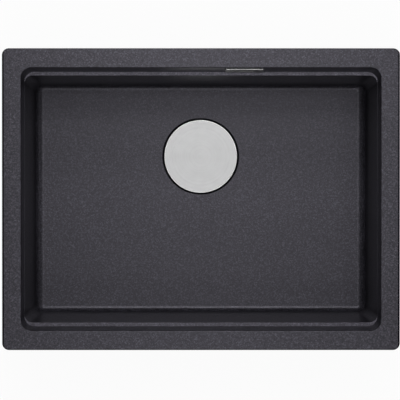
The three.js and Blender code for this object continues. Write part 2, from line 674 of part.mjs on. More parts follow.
// The two overflow screw holes, square to the sloping face, as cutting bodies in the sink's frame
function overflowScrewCuts(radius, fromDepth, toDepth) {
  return [-1, 1].map((side) => (
    cylinder(radius, fromDepth, toDepth, TINY_ROUND)
      .rotateX(-QUARTER_TURN)
      .translate(side * overflowHalfPitch, 0, 0)
      .applyMatrix4(overflowFace.matrixWorld)
  ));
}

function makeBowl() {
  const cast = skin([...innerLevels(), ...outerLevels()]);
  const bossRadius = recessRadius + BOSS_WALL;
  const bossRootZ = (bottomZ + floorZ) / 2;
  const boss = cylinder(bossRadius, bossZ, bossRootZ, LARGE_ROUND).translate(0, drainY, 0);
  const insertHoles = clipPlaces.map(({ x, y }) => (
    cylinder(
      clipInsertRadius + SEAT_GAP,
      undersideZ - CUT_PAST,
      undersideZ + CLIP_INSERT_LENGTH + SEAT_GAP,
      TINY_ROUND,
    ).translate(x, y, 0)
  ));
  return cut(
    join(cast, boss),
    drainCut(),
    overflowSlotCut(overflowFaceY - CUT_PAST, outerUpperHalfY + CUT_PAST),
    ...overflowScrewCuts(OVERFLOW_SCREW_RADIUS + SEAT_GAP, -CUT_PAST, WALL_THICKNESS * 2),
    ...insertHoles,
  );
}

addPiece('sink_bowl', makeBowl(), composite);

// ---------------------------------------------------------------- strainer waste

function makeStrainerDish() {
  const lipRadius = dishBoreRadius + DISH_LIP_RADIUS;
  const screwHoleRadius = CENTRE_SCREW_RADIUS + SEAT_GAP;
  const pressing = revolve([
    [screwHoleRadius, dishBottomZ],
    [wellRadius, dishBottomZ],
    [wellRadius, dishConeZ],
    [DISH_RADIUS, dishNeckZ],
    [DISH_RADIUS, dishSeatZ],
    [dishFlangeRadius, dishSeatZ],
    [dishFlangeRadius, dishTopZ - DISH_THICKNESS / 2],
    [dishFlangeRadius - DISH_THICKNESS / 2, dishTopZ],
    ...arc(lipRadius, dishTopZ - DISH_LIP_RADIUS, DISH_LIP_RADIUS, 90, 180, EDGE_STEPS),
    [dishBoreRadius, dishNeckZ],
    [wellBoreRadius, dishConeZ],
    [wellBoreRadius, wellFloorZ],
    [screwHoleRadius, wellFloorZ],
    [screwHoleRadius, dishBottomZ],
  ], LARGE_ROUND);
  const hole = cylinder(WELL_HOLE_RADIUS, dishBottomZ - CUT_PAST, wellFloorZ + CUT_PAST, TINY_ROUND)
    .translate(WELL_HOLE_RING_RADIUS, 0, 0);
  return cut(pressing, ...around(hole, WELL_HOLE_COUNT));
}

function makeFlangeSeal() {
  const boreRadius = DISH_RADIUS + FLANGE_SEAL_BORE_CLEARANCE;
  const outerRadius = dishFlangeRadius - FLANGE_SEAL_EDGE_INSET;
  return ring(boreRadius, outerRadius, flangeSealZ, flangeSealZ + FLANGE_SEAL_THICKNESS, LARGE_ROUND);
}

function makeBodySeal() {
  const boreRadius = drainHoleRadius + BODY_SEAL_SETBACK;
  return ring(boreRadius, bodyFlangeRadius, bodySealZ, bodySealZ + BODY_SEAL_THICKNESS, LARGE_ROUND);
}

// The bore that takes the pipe's end: a socket runs along +Z, with its root at z = 0
const socketInner = () => cylinder(socketBoreRadius, SOCKET_STOP, SOCKET_LENGTH + CUT_PAST, SMALL_ROUND);

// Turns a piece built along +Z so that it runs along the overflow inlet of the waste
function alongInlet(geometry) {
  const turn = new THREE.Quaternion().setFromUnitVectors(new THREE.Vector3(0, 0, 1), inletDirection);
  return geometry.applyQuaternion(turn)
    .translate(inletDirection.x * inletReach, inletDirection.y * inletReach, inletZ);
}

function makeWasteBody() {
  const midWallRadius = (bodyBoreRadius + bodyRadius) / 2;
  const insideStep = BODY_THICKNESS / 2; // keeps the cone's wall as thick as the straight one
  const shell = revolve([
    [outletBoreRadius, outletEndZ],
    [OUTLET_RADIUS, outletEndZ],
    [OUTLET_RADIUS, outletZ],
    [bodyRadius, bodyConeZ],
    [bodyRadius, bodyFlangeZ],
    [bodyFlangeRadius, bodyFlangeZ],
    [bodyFlangeRadius, bodyTopZ],
    [bodyBoreRadius, bodyTopZ],
    [bodyBoreRadius, bodyConeZ + insideStep],
    [outletBoreRadius, outletZ + insideStep],
    [outletBoreRadius, outletEndZ],
  ], LARGE_ROUND);
  const inletStart = midWallRadius - inletReach;
  const inlet = alongInlet(cylinder(socketRadius, inletStart, SOCKET_LENGTH, SMALL_ROUND));
  const inletBore = alongInlet(cylinder(pipeBoreRadius, inletStart - BODY_ROOM, SOCKET_LENGTH, SMALL_ROUND));
  // The arms of the spider keep clear of the inlet: the first one points straight away from it
  const arm = box(
    [0, -SPIDER_ARM_WIDTH / 2, spiderArmZ],
    [midWallRadius, SPIDER_ARM_WIDTH / 2, spiderArmZ + SPIDER_ARM_HEIGHT],
  );
  const firstArm = Math.atan2(inletDirection.y, inletDirection.x) + HALF_TURN;
  const hub = cylinder(spiderBossRadius, spiderBottomZ, spiderTopZ, MEDIUM_ROUND);
  const hubHole = cylinder(
    centreInsertRadius + SEAT_GAP,
    spiderBottomZ - CUT_PAST,
    spiderTopZ + CUT_PAST,
    SMALL_ROUND,
  );
  const body = cut(join(shell, inlet), inletBore, alongInlet(socketInner()));
  return cut(join(body, hub, ...around(arm, SPIDER_ARMS, firstArm)), hubHole);
}

function makeCentreScrew() {
  const tipZ = spiderBottomZ - CENTRE_SCREW_PAST;
  const screw = revolve([
    [0, tipZ],
    [CENTRE_SCREW_RADIUS, tipZ],
    [CENTRE_SCREW_RADIUS, screwHeadZ],
    [CENTRE_SCREW_HEAD_RADIUS, screwHeadZ],
    [CENTRE_SCREW_HEAD_RADIUS, screwHeadTopZ - CENTRE_SCREW_HEAD_CHAMFER],
    [CENTRE_SCREW_HEAD_RADIUS - CENTRE_SCREW_HEAD_CHAMFER, screwHeadTopZ],
    [0, screwHeadTopZ],
  ], MEDIUM_ROUND);
  const driverSlot = box(
    [-CENTRE_SCREW_HEAD_RADIUS, -CENTRE_SCREW_SLOT_WIDTH / 2, screwHeadTopZ - CENTRE_SCREW_SLOT_DEPTH],
    [CENTRE_SCREW_HEAD_RADIUS, CENTRE_SCREW_SLOT_WIDTH / 2, screwHeadTopZ + CUT_PAST],
  );
  return cut(screw, driverSlot);
}

function makeCentreInsert() {
  return ring(CENTRE_SCREW_RADIUS + SEAT_GAP, centreInsertRadius, spiderBottomZ, spiderTopZ, SMALL_ROUND);
}

// Raised grips at equal angles on a nut
function nutRibs(radius, width, low, high, count) {
  return around(box([radius - width / 2, -width / 2, low], [radius + width / 2, width / 2, high]), count);
}

function makeOutletNut() {
  const threadRadius = OUTLET_RADIUS + SEAT_GAP;
  const lipBoreRadius = TAILPIECE_RADIUS + SEAT_GAP;
  const outerRadius = threadRadius + OUTLET_NUT_WALL;
  const topZ = outletEndZ + OUTLET_NUT_GRIP;
  const nutFootZ = outletNutLipZ - OUTLET_NUT_LIP_THICKNESS;
  const nut = revolve([
    [lipBoreRadius, nutFootZ],
    [outerRadius, nutFootZ],
    [outerRadius, topZ],
    [threadRadius, topZ],
    [threadRadius, outletNutLipZ],
    [lipBoreRadius, outletNutLipZ],
    [lipBoreRadius, nutFootZ],
  ], MEDIUM_ROUND);
  return join(nut, ...nutRibs(outerRadius, OUTLET_NUT_RIB_WIDTH, nutFootZ, topZ, OUTLET_NUT_RIBS));
}

function makeOutletWasher() {
  const topZ = washerZ + OUTLET_WASHER_THICKNESS;
  return ring(outletBoreRadius, OUTLET_RADIUS, washerZ, topZ, MEDIUM_ROUND);
}

function makeTailpiece() {
  const boreRadius = TAILPIECE_RADIUS - TAILPIECE_THICKNESS;
  return revolve([
    [boreRadius, tailEndZ],
    [TAILPIECE_RADIUS, tailEndZ],
    [TAILPIECE_RADIUS, tailFlangeZ],
    [OUTLET_RADIUS, tailFlangeZ],
    [OUTLET_RADIUS, tailFlangeTopZ],
    [boreRadius, tailFlangeTopZ],
    [boreRadius, tailEndZ],
  ], MEDIUM_ROUND);
}

addPiece('strainer_dish', makeStrainerDish(), brushedSteel, drain);
addPiece('flange_seal', makeFlangeSeal(), blackRubber, drain);
addPiece('body_seal', makeBodySeal(), blackRubber, drain);
addPiece('waste_body', makeWasteBody(), blackPlastic, drain);
addPiece('centre_screw', makeCentreScrew(), brushedSteel, drain);
addPiece('centre_insert', makeCentreInsert(), brass, drain);
addPiece('outlet_washer', makeOutletWasher(), blackRubber, drain);
addPiece('outlet_nut', makeOutletNut(), blackPlastic, drain);
addPiece('tailpiece', makeTailpiece(), greyPlastic, drain);

// ---------------------------------------------------------------- basket

function makeBasketCup() {
  const boreRadius = basketRadius - BASKET_THICKNESS;
  const stemHoleRadius = STEM_RADIUS + SEAT_GAP;
  const floorTopZ = basketBottomZ + BASKET_THICKNESS;
  const pressing = revolve([
    [stemHoleRadius, basketBottomZ],
    [basketRadius, basketBottomZ],
    [basketRadius, basketSeatZ],
    [basketFlangeRadius, basketSeatZ],
    [basketFlangeRadius, basketTopZ],
    [boreRadius, basketTopZ],
    [boreRadius, floorTopZ],
    [stemHoleRadius, floorTopZ],
    [stemHoleRadius, basketBottomZ],
  ], LARGE_ROUND);
  // The slots take the middle of the wall that the stopper ring leaves free
  const slotMidZ = (basketBottomZ + basketSeatZ - STOPPER_DEPTH) / 2;
  const slot = box(
    [boreRadius - CUT_PAST, -BASKET_SLOT_WIDTH / 2, slotMidZ - BASKET_SLOT_HEIGHT / 2],
    [basketRadius + CUT_PAST, BASKET_SLOT_WIDTH / 2, slotMidZ + BASKET_SLOT_HEIGHT / 2],
  );
  const floorHoles = (ringRadius, count) => {
    const hole = cylinder(BASKET_HOLE_RADIUS, basketBottomZ - CUT_PAST, floorTopZ + CUT_PAST, HOLE_ROUND);
    return around(hole.translate(ringRadius, 0, 0), count);
  };
  return cut(
    pressing,
    ...around(slot, BASKET_SLOTS),
    ...floorHoles(BASKET_INNER_RING_RADIUS, BASKET_INNER_HOLES),
    ...floorHoles(BASKET_OUTER_RING_RADIUS, BASKET_OUTER_HOLES),
  );
}

// Pull knob: a mushroom head on a stem whose collar and riveted foot grip the basket's floor
function makeBasketKnob() {
  const headZ = knobTopZ - KNOB_HEIGHT;
  const collarZ = basketBottomZ + BASKET_THICKNESS + SEAT_GAP;
  const collarTopZ = collarZ + STEM_COLLAR_THICKNESS;
  const rivetTopZ = basketBottomZ - SEAT_GAP;
  const rivetZ = rivetTopZ - STEM_RIVET_THICKNESS;
  return revolve([
    [0, rivetZ],
    [STEM_RIVET_RADIUS, rivetZ],
    [STEM_RIVET_RADIUS, rivetTopZ],
    [STEM_RADIUS, rivetTopZ],
    [STEM_RADIUS, collarZ],
    [STEM_COLLAR_RADIUS, collarZ],
    [STEM_COLLAR_RADIUS, collarTopZ],
    [STEM_RADIUS, collarTopZ + STEM_COLLAR_CHAMFER],
    [STEM_RADIUS, headZ],
    [KNOB_RADIUS, headZ + KNOB_CHAMFER],
    [KNOB_RADIUS, knobTopZ - KNOB_CHAMFER],
    [KNOB_RADIUS - KNOB_TOP_CHAMFER, knobTopZ],
    [0, knobTopZ],
  ], MEDIUM_ROUND);
}

// Rubber ring under the basket's flange, tapered like the dish's cone that it seals on
function makeStopperRing() {
  const boreRadius = basketRadius + SEAT_GAP;
  const topZ = basketSeatZ - SEAT_GAP;
  const footZ = topZ - STOPPER_DEPTH;
  const coneTopZ = Math.min(topZ, dishNeckZ);
  const coneSlope = DISH_CONE_STEP / DISH_CONE_DEPTH;
  const upperRadius = dishBoreRadius - STOPPER_CLEARANCE - (dishNeckZ - coneTopZ) * coneSlope;
  const footRadius = dishBoreRadius - STOPPER_CLEARANCE - (dishNeckZ - footZ) * coneSlope;
  return revolve([
    [boreRadius, footZ],
    [Math.min(footRadius, boreRadius + STOPPER_WIDTH), footZ],
    [upperRadius, coneTopZ],
    [upperRadius, topZ],
    [boreRadius, topZ],
    [boreRadius, footZ],
  ], LARGE_ROUND);
}

addPiece('basket_cup', makeBasketCup(), brushedSteel, drain);
addPiece('basket_knob', makeBasketKnob(), brushedSteel, drain);
addPiece('basket_stopper', makeStopperRing(), blackRubber, drain);

// ---------------------------------------------------------------- drain cover

function makeCover() {
  return revolve([
    [0, coverZ],
    [coverRadius - COVER_BEVEL, coverZ],
    [coverRadius, coverZ + COVER_BEVEL],
    [coverRadius, coverTopZ - COVER_BEVEL],
    [coverRadius - COVER_BEVEL, coverTopZ],
    [0, coverTopZ],
  ], LARGE_ROUND);
}

// A moulded hoop with spokes under the disc, standing on feet on the dish's flange
function makeCoverCarrier() {
  const boreRadius = carrierMidRadius - CARRIER_WIDTH / 2;
  const carrierTopZ = carrierZ + CARRIER_THICKNESS;
  const hoop = ring(boreRadius, boreRadius + CARRIER_WIDTH, carrierZ, carrierTopZ, LARGE_ROUND);
  const hub = cylinder(CARRIER_HUB_RADIUS, carrierZ, carrierTopZ, MEDIUM_ROUND);
  const spoke = box(
    [CARRIER_HUB_RADIUS / 2, -CARRIER_SPOKE_WIDTH / 2, carrierZ],
    [carrierMidRadius, CARRIER_SPOKE_WIDTH / 2, carrierTopZ],
  );
  const foot = cylinder(FOOT_RADIUS, footZ, (carrierZ + carrierTopZ) / 2, TINY_ROUND)
    .translate(carrierMidRadius, 0, 0);
  return join(hoop, hub, ...around(spoke, CARRIER_SPOKES), ...around(foot, FOOT_COUNT));
}

addPiece('drain_cover', makeCover(), brushedSteel, drain);
addPiece('cover_carrier', makeCoverCarrier(), blackPlastic, drain);

// ---------------------------------------------------------------- overflow

// The overflow's slot as the outline of a hole
function overflowSlotPath() {
  return roundedRectangleShape(
    OVERFLOW_SLOT_LENGTH,
    OVERFLOW_SLOT_HEIGHT,
    OVERFLOW_SLOT_HEIGHT / 2,
    THREE.Path,
  );
}

function makeOverflowCover() {
  const shape = roundedRectangleShape(
    overflowCoverLength,
    overflowCoverHeight,
    OVERFLOW_COVER_CORNER_RADIUS,
  );
  shape.holes.push(overflowSlotPath());
  const plate = upright(slab(shape, OVERFLOW_COVER_THICKNESS)).translate(0, -SEAT_GAP, 0);
  const headRadius = OVERFLOW_SCREW_HEAD_RADIUS + SEAT_GAP;
  const shankRadius = OVERFLOW_SCREW_RADIUS + SEAT_GAP;
  const countersink = revolve([
    [0, coverFaceDepth - CUT_PAST],
    [headRadius, coverFaceDepth - CUT_PAST],
    [headRadius, coverFaceDepth],
    [shankRadius, coverFaceDepth + OVERFLOW_SCREW_HEAD_HEIGHT],
    [shankRadius, CUT_PAST],
    [0, CUT_PAST],
  ], SMALL_ROUND).rotateX(-QUARTER_TURN);
  return cut(
    plate,
    countersink.clone().translate(-overflowHalfPitch, 0, 0),
    countersink.clone().translate(overflowHalfPitch, 0, 0),
  );
}

// A screw in the sloping face's own frame, where depth runs into the wall
function makeOverflowScrew() {
  const tipDepth = overflowInsertDepth + OVERFLOW_SCREW_ENGAGE;
  return revolve([
    [0, coverFaceDepth],
    [OVERFLOW_SCREW_HEAD_RADIUS, coverFaceDepth],
    [OVERFLOW_SCREW_RADIUS, coverFaceDepth + OVERFLOW_SCREW_HEAD_HEIGHT],
    [OVERFLOW_SCREW_RADIUS, tipDepth],
    [0, tipDepth],
  ], SMALL_ROUND).rotateX(-QUARTER_TURN);
}

function makeOverflowGasket() {
  const shape = roundedRectangleShape(housingLength, HOUSING_RISE * 2, HOUSING_CORNER_RADIUS);
  shape.holes.push(overflowSlotPath());
  const backY = gasketY + OVERFLOW_GASKET_THICKNESS;
  const sheet = upright(slab(shape, OVERFLOW_GASKET_THICKNESS)).translate(OVERFLOW_X, backY, overflowZ);
  return cut(sheet, ...overflowScrewCuts(OVERFLOW_SCREW_RADIUS + SEAT_GAP, 0, overflowInsertDepth));
}

// Turns a piece built along +Z so that it hangs from the overflow's housing
function belowHousing(geometry) {
  return geometry.rotateX(HALF_TURN).translate(OVERFLOW_X, pipeY, housingBottomZ);
}

function makeOverflowHousing() {
  const shape = roundedRectangleShape(
    housingLength,
    housingTopZ - housingBottomZ,
    HOUSING_CORNER_RADIUS,
  );
  const backY = housingFrontY + housingDepth;
  const block = upright(slab(shape, housingDepth))
    .translate(OVERFLOW_X, backY, (housingTopZ + housingBottomZ) / 2);
  const chamberY = housingFrontY + HOUSING_THICKNESS;
  const chamber = box(
    [OVERFLOW_X - chamberLength / 2, chamberY, housingBottomZ + HOUSING_THICKNESS],
    [OVERFLOW_X + chamberLength / 2, chamberY + CHAMBER_DEPTH, overflowZ + OVERFLOW_SLOT_HEIGHT / 2],
  );
  const root = belowHousing(cylinder(socketRadius, -SOCKET_ROOT, SOCKET_LENGTH, SMALL_ROUND));
  const drop = belowHousing(cylinder(
    pipeBoreRadius - SOCKET_THICKNESS,
    -HOUSING_THICKNESS - SEAT_GAP,
    SOCKET_LENGTH,
    SMALL_ROUND,
  ));
  const screwRadius = OVERFLOW_SCREW_RADIUS + SEAT_GAP;
  return cut(
    join(block, root),
    chamber,
    drop,
    belowHousing(socketInner()),
    overflowSlotCut(housingFrontY - CUT_PAST, chamberY + CUT_PAST),
    ...overflowScrewCuts(screwRadius, 0, overflowInsertDepth + OVERFLOW_SCREW_ENGAGE + SEAT_GAP),
    ...overflowScrewCuts(
      overflowInsertRadius + SEAT_GAP,
      overflowInsertDepth - SEAT_GAP,
      overflowInsertDepth + OVERFLOW_INSERT_LENGTH + SEAT_GAP,
    ),
  );
}

function makeOverflowInsert() {
  return ring(
    OVERFLOW_SCREW_RADIUS + SEAT_GAP,
    overflowInsertRadius,
    overflowInsertDepth,
    overflowInsertDepth + OVERFLOW_INSERT_LENGTH,
    TINY_ROUND,
  ).rotateX(-QUARTER_TURN);
}

function makeConeSeal() {
  const start = SOCKET_LENGTH + SEAT_GAP;
  return ring(socketBoreRadius, socketRadius - SEAT_GAP, start, start + CONE_SEAL_THICKNESS, SMALL_ROUND);
}

function makeSlipNut() {
  const boreRadius = socketRadius + SEAT_GAP;
  const start = SOCKET_LENGTH - SLIP_NUT_GRIP;
  const lipStart = SOCKET_LENGTH + SEAT_GAP + CONE_SEAL_THICKNESS + SEAT_GAP;
  const end = lipStart + SLIP_NUT_LIP_THICKNESS;
  const nut = revolve([
    [boreRadius, start],
    [slipNutRadius, start],
    [slipNutRadius, end],
    [socketBoreRadius, end],
    [socketBoreRadius, lipStart],
    [boreRadius, lipStart],
    [boreRadius, start],
  ], MEDIUM_ROUND);
  return join(nut, ...nutRibs(slipNutRadius, SLIP_NUT_RIB_WIDTH, start, end, SLIP_NUT_RIBS));
}

// From the housing straight down, round one bend and level to the waste's inlet
function makeOverflowPipe() {
  const side = inletDirection.clone();
  const startZ = housingBottomZ - SOCKET_STOP - SEAT_GAP;
  const top = new THREE.Vector3(OVERFLOW_X, pipeY, startZ);
  const bendTop = new THREE.Vector3(OVERFLOW_X, pipeY, inletZ + PIPE_BEND_RADIUS);
  const corner = new THREE.Vector3(OVERFLOW_X, pipeY, inletZ);
  const bendEnd = corner.clone().addScaledVector(side, -PIPE_BEND_RADIUS);
  const inletDistance = inletReach + SOCKET_STOP + SEAT_GAP;
  const end = new THREE.Vector3(0, drainY, inletZ).addScaledVector(side, inletDistance);
  const handle = 4 / 3 * (Math.SQRT2 - 1); // of a cubic curve that follows a quarter circle
  const route = new THREE.CurvePath();
  route.add(new THREE.LineCurve3(top, bendTop));
  route.add(new THREE.CubicBezierCurve3(
    bendTop,
    bendTop.clone().lerp(corner, handle),
    bendEnd.clone().lerp(corner, handle),
    bendEnd,
  ));
  route.add(new THREE.LineCurve3(bendEnd, end));
  const section = new THREE.Shape().absarc(0, 0, PIPE_RADIUS, 0, FULL_TURN);
  section.holes.push(new THREE.Path().absarc(0, 0, pipeBoreRadius, 0, FULL_TURN));
  return closed(new THREE.ExtrudeGeometry(section, {
    steps: PIPE_STEPS,
    extrudePath: route,
    curveSegments: SMALL_ROUND / 2,
    bevelEnabled: false,
  }));
}

addPiece('overflow_cover', makeOverflowCover(), brushedSteel, overflowFace);
[['left', -overflowHalfPitch], ['right', overflowHalfPitch]].forEach(([side, x]) => {
  addPiece(`overflow_screw_${side}`, makeOverflowScrew(), brushedSteel, overflowFace).position.x = x;
  addPiece(`overflow_insert_${side}`, makeOverflowInsert(), brass, overflowFace).position.x = x;
});
addPiece('overflow_gasket', makeOverflowGasket(), blackRubber);
addPiece('overflow_housing', makeOverflowHousing(), blackPlastic);
addPiece('overflow_upper_seal', belowHousing(makeConeSeal()), blackRubber);
addPiece('overflow_upper_nut', belowHousing(makeSlipNut()), blackPlastic);
addPiece('overflow_pipe', makeOverflowPipe(), greyPlastic);
addPiece('overflow_lower_seal', alongInlet(makeConeSeal()), blackRubber, drain);
addPiece('overflow_lower_nut', alongInlet(makeSlipNut()), blackPlastic, drain);

// ---------------------------------------------------------------- mounting clips

// A pressed arm with its pivot at the origin, pointing along +X, with turned-down sides
function makeClipArm() {
  const halfWidth = CLIP_WIDTH / 2;
  const tipRadius = halfWidth / 2;
  const tipX = CLIP_REACH - tipRadius;
  const outline = new THREE.Shape();
  outline.absarc(0, 0, halfWidth, QUARTER_TURN, 3 * QUARTER_TURN);
  outline.absarc(tipX, -tipRadius, tipRadius, -QUARTER_TURN, 0);
  outline.absarc(tipX, tipRadius, tipRadius, 0, QUARTER_TURN);
  const pivotHoleRadius = CLIP_SCREW_RADIUS + RUN_GAP;
  const pivotHole = roundedRectangleShape(
    2 * pivotHoleRadius,
    2 * pivotHoleRadius,
    pivotHoleRadius,
    THREE.Path,
  );
  const slotRadius = CLIP_SLOT_WIDTH / 2;
  const slotEnd = CLIP_REACH - CLIP_SLOT_MARGIN - slotRadius;
  const slotStart = slotEnd - CLIP_SLOT_LENGTH + CLIP_SLOT_WIDTH;
  const slot = new THREE.Path();
  slot.absarc(slotEnd, 0, slotRadius, -QUARTER_TURN, QUARTER_TURN);
  slot.absarc(slotStart, 0, slotRadius, QUARTER_TURN, 3 * QUARTER_TURN);
  outline.holes.push(pivotHole, slot);
  const plate = slab(outline, CLIP_THICKNESS).translate(0, 0, clipBottomZ);
  const flangeZ = clipBottomZ - CLIP_FLANGE_HEIGHT;
  const flangeEnd = CLIP_REACH - CLIP_FLANGE_MARGIN;
  const flanges = [halfWidth, CLIP_THICKNESS - halfWidth].map((outerFace) => (
    box([CLIP_FLANGE_START, outerFace - CLIP_THICKNESS, flangeZ], [flangeEnd, outerFace, clipTopZ])
  ));
  return join(plate, ...flanges);
}

function makeClipInsert() {
  return ring(
    CLIP_SCREW_RADIUS + SEAT_GAP,
    clipInsertRadius,
    undersideZ,
    undersideZ + CLIP_INSERT_LENGTH,
    TINY_ROUND,
  );
}

function makeClipWasher() {
  const boreRadius = CLIP_SCREW_RADIUS + SEAT_GAP;
  return ring(boreRadius, CLIP_WASHER_RADIUS, clipWasherZ, clipWasherZ + CLIP_WASHER_THICKNESS, SMALL_ROUND);
}

function makeClipScrew() {
  const headTopZ = clipWasherZ - SEAT_GAP;
  const headBottomZ = headTopZ - CLIP_SCREW_HEAD_HEIGHT;
  const screw = revolve([
    [0, headBottomZ],
    [CLIP_SCREW_HEAD_RADIUS, headBottomZ],
    [CLIP_SCREW_HEAD_RADIUS, headTopZ],
    [CLIP_SCREW_RADIUS, headTopZ],
    [CLIP_SCREW_RADIUS, undersideZ + CLIP_SCREW_ENGAGE],
    [0, undersideZ + CLIP_SCREW_ENGAGE],
  ], TINY_ROUND);
  const key = cylinder(
    CLIP_SCREW_SOCKET_RADIUS,
    headBottomZ - CUT_PAST,
    headBottomZ + CLIP_SCREW_SOCKET_DEPTH,
    HOLE_ROUND,
  );
  return cut(screw, key);
}

clipPlaces.forEach(({ name, x, y, heading }) => {
  const pivot = new THREE.Group();
  pivot.position.set(x, y, 0);
  pivot.rotation.z = degrees(heading);
  sink.add(pivot);
  addPiece(name, makeClipArm(), zincSteel, pivot);
  addPiece(`${name}_screw`, makeClipScrew(), zincSteel, pivot);
  addPiece(`${name}_washer`, makeClipWasher(), zincSteel, pivot);
  addPiece(`${name}_insert`, makeClipInsert(), brass, pivot);
});

export default sink;
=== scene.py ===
import json
import math

import bmesh
import bpy
from mathutils import Matrix, Vector

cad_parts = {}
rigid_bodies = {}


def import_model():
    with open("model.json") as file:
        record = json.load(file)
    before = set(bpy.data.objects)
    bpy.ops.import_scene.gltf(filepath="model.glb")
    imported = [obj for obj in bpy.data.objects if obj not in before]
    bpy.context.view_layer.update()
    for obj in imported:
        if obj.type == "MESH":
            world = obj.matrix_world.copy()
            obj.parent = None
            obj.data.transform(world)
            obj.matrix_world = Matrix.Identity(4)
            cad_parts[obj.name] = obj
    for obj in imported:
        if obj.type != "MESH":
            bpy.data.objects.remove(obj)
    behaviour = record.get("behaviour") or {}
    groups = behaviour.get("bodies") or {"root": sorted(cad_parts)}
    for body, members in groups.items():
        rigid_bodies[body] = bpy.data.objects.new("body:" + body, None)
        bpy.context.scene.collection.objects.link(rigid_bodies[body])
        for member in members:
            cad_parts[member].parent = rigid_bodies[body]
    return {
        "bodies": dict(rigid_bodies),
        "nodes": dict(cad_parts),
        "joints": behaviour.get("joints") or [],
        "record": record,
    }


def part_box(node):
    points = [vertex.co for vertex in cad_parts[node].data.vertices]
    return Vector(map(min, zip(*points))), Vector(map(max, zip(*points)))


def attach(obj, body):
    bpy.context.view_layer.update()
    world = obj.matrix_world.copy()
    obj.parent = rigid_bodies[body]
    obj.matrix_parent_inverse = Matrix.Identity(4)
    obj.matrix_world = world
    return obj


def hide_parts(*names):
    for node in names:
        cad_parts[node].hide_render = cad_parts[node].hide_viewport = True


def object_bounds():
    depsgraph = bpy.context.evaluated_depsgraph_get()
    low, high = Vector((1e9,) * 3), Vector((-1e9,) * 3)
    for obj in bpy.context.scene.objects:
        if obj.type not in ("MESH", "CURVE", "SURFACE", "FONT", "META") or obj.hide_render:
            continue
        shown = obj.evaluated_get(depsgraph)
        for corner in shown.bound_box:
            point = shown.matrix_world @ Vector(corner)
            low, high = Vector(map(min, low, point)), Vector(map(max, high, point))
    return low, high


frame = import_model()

# Undermount kitchen sink, seen from straight above. Sizes and places are millimetres in the part's own
# frame, and add_object turns them into metres. A piece takes its place from the box of the node it replaces.
MM = 0.001
CAD_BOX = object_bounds()


def box(node):
    """Lowest and highest corner of a CAD node, in millimetres."""
    return tuple(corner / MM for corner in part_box(node))


def turned_size(node):
    """Lowest z, highest z and radius of a CAD node that is turned about an upright line."""
    low, high = box(node)
    return low.z, high.z, (high.x - low.x) / 2


def upright_line(node):
    """Frame on the upright line through the middle of a CAD node, at z = 0."""
    low, high = box(node)
    return Matrix.Translation((*((low + high) / 2).xy, 0))


# ---- sizes and places

# Facets of the fine meshes
CORNER_STEPS = 16
FILLET_STEPS = 9
EDGE_STEPS = 5
COVER_ROUND = 192
ROUND = 128
NUT_ROUND = 96
FITTING_ROUND = 64
BORE_ROUND = 60  # not FITTING_ROUND, so that a bore's edges miss its socket's
SMALL_ROUND = 48
SHARP_ANGLE = 32  # degrees from which an edge is shaded crisp
NORMAL_WEIGHT = 60  # of large faces against small ones
PAST = 3  # how far a cutting body runs past the face that it opens
MERGE = 1e-4  # points closer than this are one
GAP = 0.3  # clearance between two pieces that fit together

# Bowl: half lengths along X and Y, heights below the rim's top face, drafts in radians
BOWL_LOW, BOWL_HIGH = box("sink_bowl")
RIM_HALF_X = BOWL_HIGH.x
RIM_HALF_Y = BOWL_HIGH.y
RIM_SIDE_WIDTH = 28
RIM_END_WIDTH = 28.5
RIM_CORNER = 10
RIM_EDGE = 1.5
RIM_OUTER_EDGE = 2.8
FLANGE_THICKNESS = 10
FLANGE_FOOT = 0.8
FLANGE_FILLET = 2
OPENING_HALF_X = RIM_HALF_X - RIM_SIDE_WIDTH
OPENING_HALF_Y = RIM_HALF_Y - RIM_END_WIDTH
OPENING_CORNER = 15
UPPER_FOOT_CORNER = 14.5
UPPER_SIDE_DRAFT = math.radians(4)
UPPER_END_DRAFT = math.radians(8.4)
LEDGE_DEPTH = 30
LEDGE_WIDTH = 4
LEDGE_FILLET = 0.6
LEDGE_EDGE = 1
LEDGE_SIDE_STEP = 0.1
LOWER_SIDE_DRAFT = math.radians(0.7)
LOWER_END_DRAFT = math.radians(1.5)
BOWL_DEPTH = 200
BOWL_CORNER = 12
BOTTOM_FILLET_HEIGHT = 11  # the bottom fillet is a quarter of an oval
BOTTOM_SIDE_FILLET = 13
BOTTOM_END_FILLET = 9.5
WALL = 9
FLOOR_THICKNESS = 9
LEDGE_BACKING = 5
SLOPE_DROP = 6
BOTTOM_OUTER = 20

# Drain: everything turned about one upright line
DRAIN = upright_line("strainer_dish")
DRAIN_PLACE = DRAIN.translation * MM  # in metres
RECESS_RADIUS = 59.5
RECESS_DEPTH = 8
RECESS_EDGE = 1
DRAIN_HOLE_RADIUS = 45
BOSS_RADIUS = 71.5
BOSS_EDGE = 3

# Overflow: the cover and its screws lie on the sloping upper back wall
OVERFLOW_X = 64
OVERFLOW_Z = -17
OVERFLOW_SLOT_LENGTH = 34
OVERFLOW_SLOT_HEIGHT = 6
OVERFLOW_SCREW_HOLE = 2.3
OVERFLOW_PITCH = 46
OVERFLOW_FACE_Y = OPENING_HALF_Y - (-OVERFLOW_Z - RIM_EDGE) * math.tan(UPPER_END_DRAFT)
INTO_WALL = Matrix.Rotation(-math.pi / 2, 4, "X")
OVERFLOW_PLACE = Matrix.Translation((OVERFLOW_X, OVERFLOW_FACE_Y, OVERFLOW_Z))
OVERFLOW_FACE = OVERFLOW_PLACE @ Matrix.Rotation(-UPPER_END_DRAFT, 4, "X") @ INTO_WALL
OVERFLOW_SCREWS = [OVERFLOW_FACE @ Matrix.Translation((x * OVERFLOW_PITCH / 2, 0, 0)) for x in (-1, 1)]

